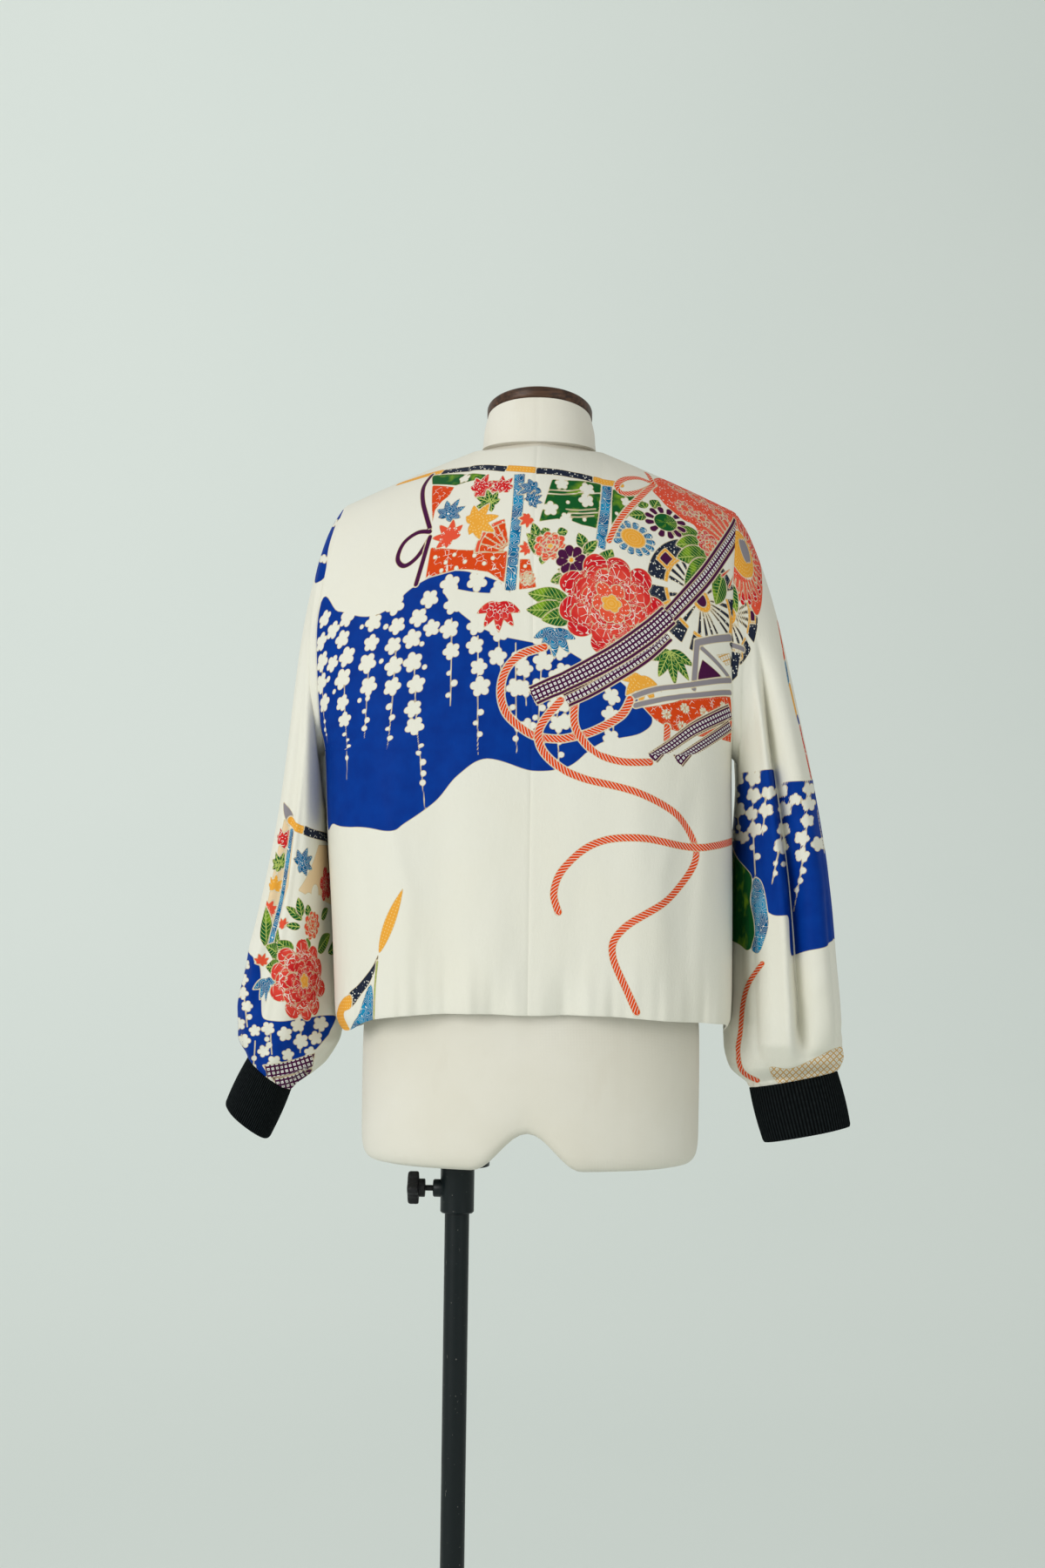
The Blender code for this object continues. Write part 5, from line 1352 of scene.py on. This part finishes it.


# Cuffs: ribs and wall, tones of the yarn and the painted shade between the ribs, and for each side its top
# and foot, half widths, depths and lean
cuff = {
    "ribs": 80, "ribHeight": 0.0010, "wall": 0.0022, "rows": 40, "uvTurn": 0.036, "uvTall": 0.057,
    "yarn": (0.0055, 0.0080, 0.0088, 1), "yarnLight": (0.0120, 0.0155, 0.0165, 1),
    # the darkest tone is painted shade in the hollows between the ribs
    "paintedGrooveShade": (0.0008, 0.0012, 0.0014, 1), "rough": 0.9, "gloss": 0.08,
    "stepsPerRib": 6, "start": 0.012, "turnIn": 0.0010, "turnReach": 0.025, "puff": 0.0012, "wave": 0.0006,
    "under": 0.0003, "cutTall": 0.062, "slack": 1.03,
    left: {"top": (-0.2730, 0.022, 0.7845), "foot": (-0.2965, 0.026, 0.7325),
           "half": (0.0275, 0.0285), "depth": (0.043, 0.041), "across": (-0.790, 0.613)},
    right: {"top": (0.2720, 0.022, 0.7870), "foot": (0.2865, 0.020, 0.7300),
            "half": (0.0457, 0.0452), "depth": (0.023, 0.0225), "across": (0.980, 0.199)},
}


def makeCuff(side):
    # ribs as a rounded cosine round the section, fading where the tube turns in at its foot
    size = cuff[side]
    count, rows = cuff["ribs"] * cuff["stepsPerRib"], cuff["rows"]
    angle = np.arange(count) * 2 * math.pi / count
    down = np.linspace(cuff["start"], 1.0, rows)[:, None]
    rib = 0.5 + 0.5 * np.cos(cuff["ribs"] * angle)[None, :]
    top, foot = np.array(size["top"]), np.array(size["foot"])
    across = np.array([size["across"][0], 0, size["across"][1]])

    def ring(down, offset):
        centre = top * (1 - down[..., None]) + foot * down[..., None]
        half = size["half"][0] * (1 - down) + size["half"][1] * down + offset
        deep = size["depth"][0] * (1 - down) + size["depth"][1] * down + offset
        wide = across * (half * np.cos(angle))[..., None]
        return centre + wide - np.array([0, 1, 0]) * (deep * np.sin(angle))[..., None]

    turnIn = cuff["turnIn"] * np.exp(-((1 - down) / cuff["turnReach"]) ** 2)
    puff = cuff["puff"] * np.sin(math.pi * down) + cuff["wave"] * np.sin(5 * angle + 2 * down) * down
    sunk = cuff["ribHeight"] * (1 - rib ** 0.6)
    outer = ring(down + 0 * rib, cuff["wall"] / 2 - sunk - turnIn + puff - cuff["under"])
    inner = ring(down[::-3] + 0 * rib, -cuff["wall"] / 2 + 0 * rib)
    plain = np.stack([np.broadcast_to(angle, (rows, count)) * cuff["uvTurn"],
                      np.broadcast_to(down, (rows, count)) * cuff["uvTall"]], -1)
    uv = np.concatenate([plain.reshape(-1, 2), np.zeros((inner.shape[0] * count, 2))])
    return tube(f"knit_cuff_{sideNames[side]}", np.concatenate([outer, inner]), -side, uv)


def knitMaterial():
    s = Shader("rib_knit")
    uv = s.cloth()
    loops = s.noise(s.scaled(uv, (1400, 700, 1)), 1.0, 2.0)
    fuzz = s.noise(s.scaled(uv, (260, 260, 1)), 1.0, 3.0)
    # painted shade: each rib keeps the yarn's tone along its top and is painted dark in the hollow beside it
    around = s.node("ShaderNodeSeparateXYZ", (uv,)).outputs[0]
    top = s.math("COSINE", s.math("MULTIPLY", around, cuff["ribs"] / cuff["uvTurn"]))
    yarn = s.mix(s.step(fuzz, 0.35, 0.7), cuff["yarn"], cuff["yarnLight"])
    s.link(s.mix(s.step(top, -0.7, 0.5), cuff["paintedGrooveShade"], yarn), "Base Color")
    s.link(s.bump(loops, 0.25, 0.0005), "Normal")
    s.fixed(Roughness=cuff["rough"], Specular_IOR_Level=cuff["gloss"])
    return s.material


knit = knitMaterial()
for side in (left, right):
    made = makeCuff(side)
    dress(made, knit, "form", "rib", f"cuff_{sideNames[side]}")
print("cuffs made")

# Dress form: height of each section at the side, back and front, its half width and depths
form = {
    "rows": (
        (0.699, 0.699, 0.699, 0.152, 0.084, 0.078), (0.7025, 0.7025, 0.7025, 0.165, 0.096, 0.089),
        (0.712, 0.712, 0.712, 0.1718, 0.103, 0.095), (0.730, 0.730, 0.730, 0.1738, 0.107, 0.098),
        (0.780, 0.780, 0.780, 0.1740, 0.112, 0.100), (0.830, 0.830, 0.830, 0.1735, 0.114, 0.101),
        (0.880, 0.880, 0.880, 0.1690, 0.110, 0.100), (0.930, 0.930, 0.930, 0.1570, 0.100, 0.097),
        (0.980, 0.980, 0.980, 0.1460, 0.091, 0.095), (1.030, 1.030, 1.030, 0.1440, 0.090, 0.099),
        (1.080, 1.080, 1.080, 0.1500, 0.096, 0.108), (1.130, 1.130, 1.130, 0.1580, 0.103, 0.119),
        (1.175, 1.175, 1.175, 0.1640, 0.107, 0.122), (1.225, 1.225, 1.225, 0.1710, 0.109, 0.115),
        (1.275, 1.275, 1.275, 0.1780, 0.108, 0.104), (1.312, 1.315, 1.310, 0.1820, 0.106, 0.094),
        (1.342, 1.348, 1.335, 0.1835, 0.104, 0.086), (1.364, 1.374, 1.354, 0.1800, 0.100, 0.080),
        (1.380, 1.390, 1.368, 0.1660, 0.096, 0.075), (1.392, 1.402, 1.380, 0.1440, 0.091, 0.071),
        (1.4035, 1.411, 1.392, 0.1180, 0.085, 0.068), (1.4145, 1.419, 1.403, 0.0870, 0.074, 0.065),
        (1.4245, 1.429, 1.415, 0.0620, 0.0615, 0.061), (1.437, 1.442, 1.427, 0.0580, 0.0602, 0.0600),
        (1.449, 1.459, 1.437, 0.0570, 0.0612, 0.0595), (1.4635, 1.4812, 1.4458, 0.0535, 0.0600, 0.0600)),
    "power": 2.15, "columns": 160, "between": 8, "archHalf": 0.056, "archHeight": 0.038, "archFade": 0.085,
    "stub": 0.699, "ease": 0.0025, "seams": (0.0, 0.094, -0.094), "seamHalf": 0.0016, "seamDepth": 0.0006,
    "bore": ((0.0133, 0.66), (0.0133, 1.05)), "tone": (0.79, 0.755, 0.665, 1),
        "stain": (0.74, 0.695, 0.59, 1),
    "worn": (0.66, 0.60, 0.49, 1), "threads": 260.0, "rough": 0.85, "sheen": 0.1,
}


def formRings():
    # each column of the section table drawn smoothly, then a closed curve for every row
    table = np.array(form["rows"])
    at = np.arange(len(table))
    fine = np.linspace(0, len(table) - 1, (len(table) - 1) * form["between"] + 1)
    side, behind, before, half, deepBack, deepFront = (through(at, table[:, k], fine)[:,
                                                                                      None] for k in range(6))
    turn = (np.arange(form["columns"]) * 2 * math.pi / form["columns"])[None, :]
    wide, deep = np.sin(turn), np.cos(turn)
    x = half * np.sign(wide) * np.abs(wide) ** (2 / form["power"])
    far = np.abs(deep) ** (2 / form["power"])
    y = np.where(deep > 0, -deepBack * far, deepFront * far)
    z = np.where(deep > 0, side + (behind - side) * far, side + (before - side) * far)
    inJacket = (side < body["neckSide"]) & (side > body["underarm"])
    z = np.where(inJacket, np.minimum(z, shoulderHeight(x) - form["ease"]), z)

    def inside(face):
        # depth of the jacket over the form
        onLeft, onRight = (bodyDepth(half, face, x, z + form["ease"]) for half in (left, right))
        return np.where(x >= 0, onRight, onLeft) + creasesAt(face, x, z)

    room = np.where(y < 0, inside(back), inside(front)) - form["ease"]
    y = np.where(inJacket, np.sign(y) * np.minimum(np.abs(y), np.maximum(room, 0.004)), y)
    arch = np.where(np.abs(x) < form["archHalf"], 0.5 + 0.5 * np.cos(math.pi * x / form["archHalf"]), 0)
    z = z + form["archHeight"] * arch * np.clip(1 - (z - form["stub"]) / form["archFade"], 0, 1)
    return x, y, z


def makeForm():
    x, y, z = formRings()
    # seams at the middle of the back and front, and two on each side, sunk by a narrow bell curve
    seam = np.zeros_like(x)
    for line in form["seams"]:
        seam += np.exp(-((x - line) / form["seamHalf"]) ** 2) * (np.abs(y) > 0.03)
    points = np.stack([x, y - np.sign(y) * form["seamDepth"] * seam, z], axis=-1)
    index, count = ringIndex(points), form["columns"]
    half = count // 2
    k = np.arange(1, half // 2)
    under = np.concatenate([np.stack([k, half - k, half - k - 1, k + 1], -1),
                            np.stack([count - k, count - k - 1, half + k + 1, half + k], -1)])
    tips = np.array([[0, half, half - 1], [0, half - 1, 1], [0, count - 1, half + 1], [0, half + 1, half]])
    made = makeMesh("form_cover", points.reshape(-1, 3), [quads(index), under, tips, index[-1:, :-1]])
    cleanNormals(made)
    bore = makeRound("bore_tool", form["bore"], stand["poleX"], 32)
    cut = made.modifiers.new("bore", "BOOLEAN")
    cut.object, cut.operation, cut.solver = bore, "DIFFERENCE", "EXACT"
    bpy.context.view_layer.update()
    graph = bpy.context.evaluated_depsgraph_get()
    done = bpy.data.meshes.new_from_object(made.evaluated_get(graph))
    made.modifiers.clear()
    made.data = done
    bpy.data.objects.remove(bore)
    done.shade_smooth()
    done.set_sharp_from_angle(angle=math.radians(50))
    return made


def makeRound(name, profile, x, sides=64, capped=True):
    # a profile of radius and height turned about an upright axis, closed by flat caps or into a ring
    profile = np.asarray(profile, float)
    angle = np.arange(sides) * 2 * math.pi / sides
    rows = np.stack([x + profile[:, :1] * np.cos(angle), profile[:, :1] * np.sin(angle),
                     np.broadcast_to(profile[:, 1:], (len(profile), sides))], axis=-1)
    if capped:
        return drum(name, rows, math.radians(35))
    index = ringIndex(rows)
    groups = [quads(np.concatenate([index, index[:1]], axis=0))]
    made = makeMesh(name, rows.reshape(-1, 3), groups, smooth=math.radians(35))
    cleanNormals(made)
    return made


stand = {
    "poleX": -0.0742, "poleR": 0.0127, "poleTop": 0.885, "base": 0.190, "thick": 0.008,
    "hub": 0.024, "hubTop": 0.034, "socket": 0.0175, "flange": 0.033, "stub": 0.699, "socketFoot": 0.645,
    "knobZ": 0.6698, "boss": 0.0092, "bossLength": 0.0075, "knob": 0.0150, "lobe": 0.0032, "lobes": 4,
}


def linenMaterial():
    s = Shader("form_cloth")
    place = s.place()

    def threads(vector, way):
        # dark and light bands across one way
        inputs = {"Vector": vector, "Scale": form["threads"], "Distortion": 0.6}
        return s.node("ShaderNodeTexWave", inputs, bands_direction=way).outputs["Fac"]

    weave = s.math("MULTIPLY", threads(s.scaled(place, (1, 0.2, 1)), "X"), threads(place, "Z"))
    stain = s.noise(place, 7.0, 4.0)
    worn = s.noise(s.scaled(place, (1, 1, 0.4)), 30.0, 4.0)
    colour = s.mix(s.step(stain, 0.35, 0.7), form["tone"], form["stain"])
    s.link(s.mix(s.step(worn, 0.62, 0.75, 0, 0.25), colour, form["worn"]), "Base Color")
    s.link(s.bump(weave, 0.25, 0.0004, s.bump(stain, 0.2, 0.003)), "Normal")
    s.fixed(Roughness=form["rough"], Sheen_Weight=form["sheen"])
    return s.material


def woodMaterial():
    s = Shader("dark_wood")
    place = s.place()
    grain = s.noise(s.scaled(place, (14, 260, 260)), 1.0, 4.0, 0.6)
    s.link(s.mix(s.step(grain, 0.35, 0.7), (0.030, 0.014, 0.008, 1), (0.115, 0.052, 0.026, 1)), "Base Color")
    s.link(s.bump(grain, 0.2, 0.0004), "Normal")
    s.fixed(Roughness=0.42, Specular_IOR_Level=0.3)
    return s.material


def paintMaterial(name, tone, rough, worn):
    s = Shader(name)
    place = s.place()
    bend = s.noise(s.scaled(place, (60, 60, 30)), 1.0, 2.0)
    lines = s.noise(s.scaled(place, (240, 240, 36)), 1.0, 5.0, 0.7)
    scratch = s.math("MULTIPLY", s.step(lines, 0.655, 0.69), s.step(bend, 0.52, 0.60))
    speck = s.step(s.noise(place, 380.0, 2.0), 0.73, 0.76)
    mark = s.math("MULTIPLY", s.math("MAXIMUM", scratch, speck), worn)
    s.link(s.mix(mark, (*tone, 1), (0.22, 0.21, 0.19, 1)), "Base Color")
    s.link(s.step(s.noise(place, 45.0, 3.0), 0.3, 0.7, rough - 0.06, rough + 0.10), "Roughness")
    s.link(s.bump(s.noise(place, 700.0, 2.0), 0.08, 0.0004), "Normal")
    s.fixed(Specular_IOR_Level=0.22)
    return s.material


dress(makeForm(), linenMaterial(), "form", "linen", "dress_form")
print("form made")

# Neck cap: half width, half depth, height, slope, and each ring's rise and how far it is set in
capPlate = {
    "half": 0.0542, "depth": 0.0607, "z": 1.4635, "slope": 0.295, "sides": 96,
    "rings": ((0.00033, 0.0012), (0.0010, 0.0003), (0.0030, 0.0), (0.0094, 0.0), (0.0108, 0.0006),
              (0.0118, 0.0018), (0.0122, 0.0034), (0.0126, 0.012), (0.0131, 0.028), (0.0132, 0.045)),
}


def makeCap():
    # a slanted oval plate: height plus rise, less the slope times y
    angle = np.arange(capPlate["sides"]) * 2 * math.pi / capPlate["sides"]
    rise, inset = (np.array(capPlate["rings"])[:, k:k + 1] for k in (0, 1))
    x, y = (capPlate["half"] - inset) * np.cos(angle), (capPlate["depth"] - inset) * np.sin(angle)
    return drum("cap_plate", np.stack([x, y, capPlate["z"] + rise - capPlate["slope"] * y], axis=-1))


dress(makeCap(), woodMaterial(), "form", "wood", "neck_cap")
blackPaint = paintMaterial("black_paint", (0.006, 0.010, 0.011), 0.34, 0.8)
blackMould = paintMaterial("black_moulding", (0.012, 0.012, 0.013), 0.42, 0.2)


def makeStand():
    # profiles of radius and height for the pole, floor plate, hub and clamp collar
    x, r = stand["poleX"], stand["poleR"]
    pole = makeRound("tube_pole", ((r - 0.001, 0.0083), (r, 0.0093), (r, stand["poleTop"] - 0.001),
                                   (r - 0.001, stand["poleTop"])), x, 96)
    dress(pole, blackPaint, "stand", "black_steel", "pole")
    wide, thick = stand["base"], stand["thick"]
    plate = makeRound("floor_plate", ((wide - 0.0015, 0), (wide - 0.0003, 0.0006), (wide, 0.0018),
                                      (wide, thick - 0.002), (wide - 0.0006, thick - 0.0006),
                                      (wide - 0.002, thick)), 0, 160)
    dress(plate, blackPaint, "stand", "black_steel", "base_plate")
    hub = makeRound("pole_hub", ((r + .0003, .0083), (stand["hub"] + .012, .0083),
                                 (stand["hub"] + .012, .0120), (stand["hub"] + .010, .0130),
                                 (stand["hub"] + .002, .0150), (stand["hub"], .0175),
                                 (stand["hub"], stand["hubTop"] - .002),
                                 (stand["hub"] - .002, stand["hubTop"]), (r + .0003, stand["hubTop"])), x,
                                 64, False)
    dress(hub, blackPaint, "stand", "black_steel", "base_hub")
    top, foot, s = stand["stub"] - 0.0003, stand["socketFoot"], stand["socket"]
    socket = makeRound("clamp_collar", ((r + .0006, top), (stand["flange"] - .0005, top),
                                        (stand["flange"], top - .0008), (stand["flange"], top - .0044),
                                        (stand["flange"] - .0006, top - .005), (s + .003, top - .0056),
                                        (s + .0008, top - .0068), (s, top - .009), (s, foot + .0014),
                                        (s - .0012, foot), (r + .0006, foot)), x, 64, False)
    dress(socket, blackPaint, "form", "black_steel", "clamp_socket")


makeStand()


def makeKnob():
    # stations along the screw: distance, radius and share of the lobes, turned about the screw's axis
    away, grip = stand["socket"] + stand["bossLength"], stand["knob"]
    rows = ((stand["poleR"] + .0004, .0024, 0), (stand["poleR"] + .0012, .0030, 0), (away + .0083, .0030, 0),
            (away + .0085, .0090, 0), (away + .0090, .0095, 0), (away + .0146, .0095, 0),
            (away + .0150, .0138, 1), (away + .0158, .0148, 1), (away + .0172, grip, 1),
            (away + .0235, grip, 1), (away + .0252, .0144, 1), (away + .0262, .0128, 1),
            (away + .0265, .0100, .6), (away + .0262, .0060, .1))
    angle = np.arange(96) * 2 * math.pi / 96
    lobes = np.maximum(np.cos(stand["lobes"] * angle), -0.5) - 0.35
    table = np.array(rows)
    radius = table[:, 1:2] + table[:, 2:] * stand["lobe"] * lobes
    points = np.stack([stand["poleX"] - table[:, :1] + 0 * radius, radius * np.cos(angle),
                       stand["knobZ"] + radius * np.sin(angle)], axis=-1)
    dress(drum("grip_knob", points), blackMould, "knob", "black_plastic", "clamp_knob")
    root, wide = stand["socket"] - .003, stand["boss"]
    table = np.array(((root, wide), (stand["socket"] + .0064, wide), (away, wide - .001), (away, .0034),
                      (root, .0034)))
    points = np.stack([stand["poleX"] - table[:, :1] + 0 * angle, table[:, 1:] * np.cos(angle),
                       stand["knobZ"] + table[:, 1:] * np.sin(angle)], axis=-1)
    made = tube("clamp_boss", points)
    cleanNormals(made)
    dress(made, blackPaint, "form", "black_steel")


makeKnob()
print("stand made")

# Studio: backdrop that curves into the floor, one large soft light from the left and weak fill;
# each lamp's place, aim, width in metres and power in watts
studio = {
    "wall": (0.765, 0.812, 0.770, 1), "wallShade": (0.750, 0.802, 0.760, 1), "wallY": 7.5, "curve": 5.5,
    "top": 9.0, "near": -4.5, "half": 6, "under": 0.0005, "sky": (0.93, 0.97, 0.95, 1), "world": 0.52,
    "lamps": {"key": ((-2.6, -3.0, 1.9), (0, 0, 1.1), 2.4, 76.0),
              "fill": ((2.6, -2.8, 1.6), (0, 0, 1.0), 2.6, 18.0),
              "wallLight": ((-2.4, 2.6, 5.6), (-0.6, 6.6, 1.6), 4.0, 104.0)},
}


def makeStudio():
    # a quarter circle between the floor and the wall
    curve, wallY, half = studio["curve"], studio["wallY"], studio["half"]
    bend = [(wallY - curve + curve * math.sin(a), curve - curve * math.cos(a))
            for a in np.linspace(0, math.pi / 2, 40)]
    y, z = np.array([(studio["near"], 0.0), *bend, (wallY, studio["top"])]).T
    x = np.linspace(-half, half, 2 * half + 1)
    rows = np.stack(np.broadcast_arrays(x, y[:, None], z[:, None] - studio["under"]), axis=-1)
    index = np.arange(rows[..., 0].size).reshape(rows.shape[:2])
    floor = makeMesh("floor", rows.reshape(-1, 3), [quads(index)])
    s = Shader("studio_wall")
    place = s.place()
    s.link(s.mix(s.step(s.noise(place, 0.8, 2.0), 0.3, 0.7), studio["wall"], studio["wallShade"]),
           "Base Color")
    s.fixed(Roughness=0.95)
    floor.data.materials.append(s.material)
    world = bpy.data.worlds.new("studio")
    world.use_nodes = True
    light = world.node_tree.nodes["Background"].inputs
    light[0].default_value, light[1].default_value = studio["sky"], studio["world"]
    scene.world = world
    for name, (place, aim, size, power) in studio["lamps"].items():
        data = bpy.data.lights.new(name, "AREA")
        data.shape, data.size, data.energy = "DISK", size, power
        lamp = bpy.data.objects.new(name, data)
        way = (Vector(aim) - Vector(place)).normalized()
        lamp.matrix_world = Matrix.Translation(place) @ way.to_track_quat("-Z", "Y").to_matrix().to_4x4()
        scene.collection.objects.link(lamp)


makeStudio()
scene.view_settings.view_transform = "Standard"
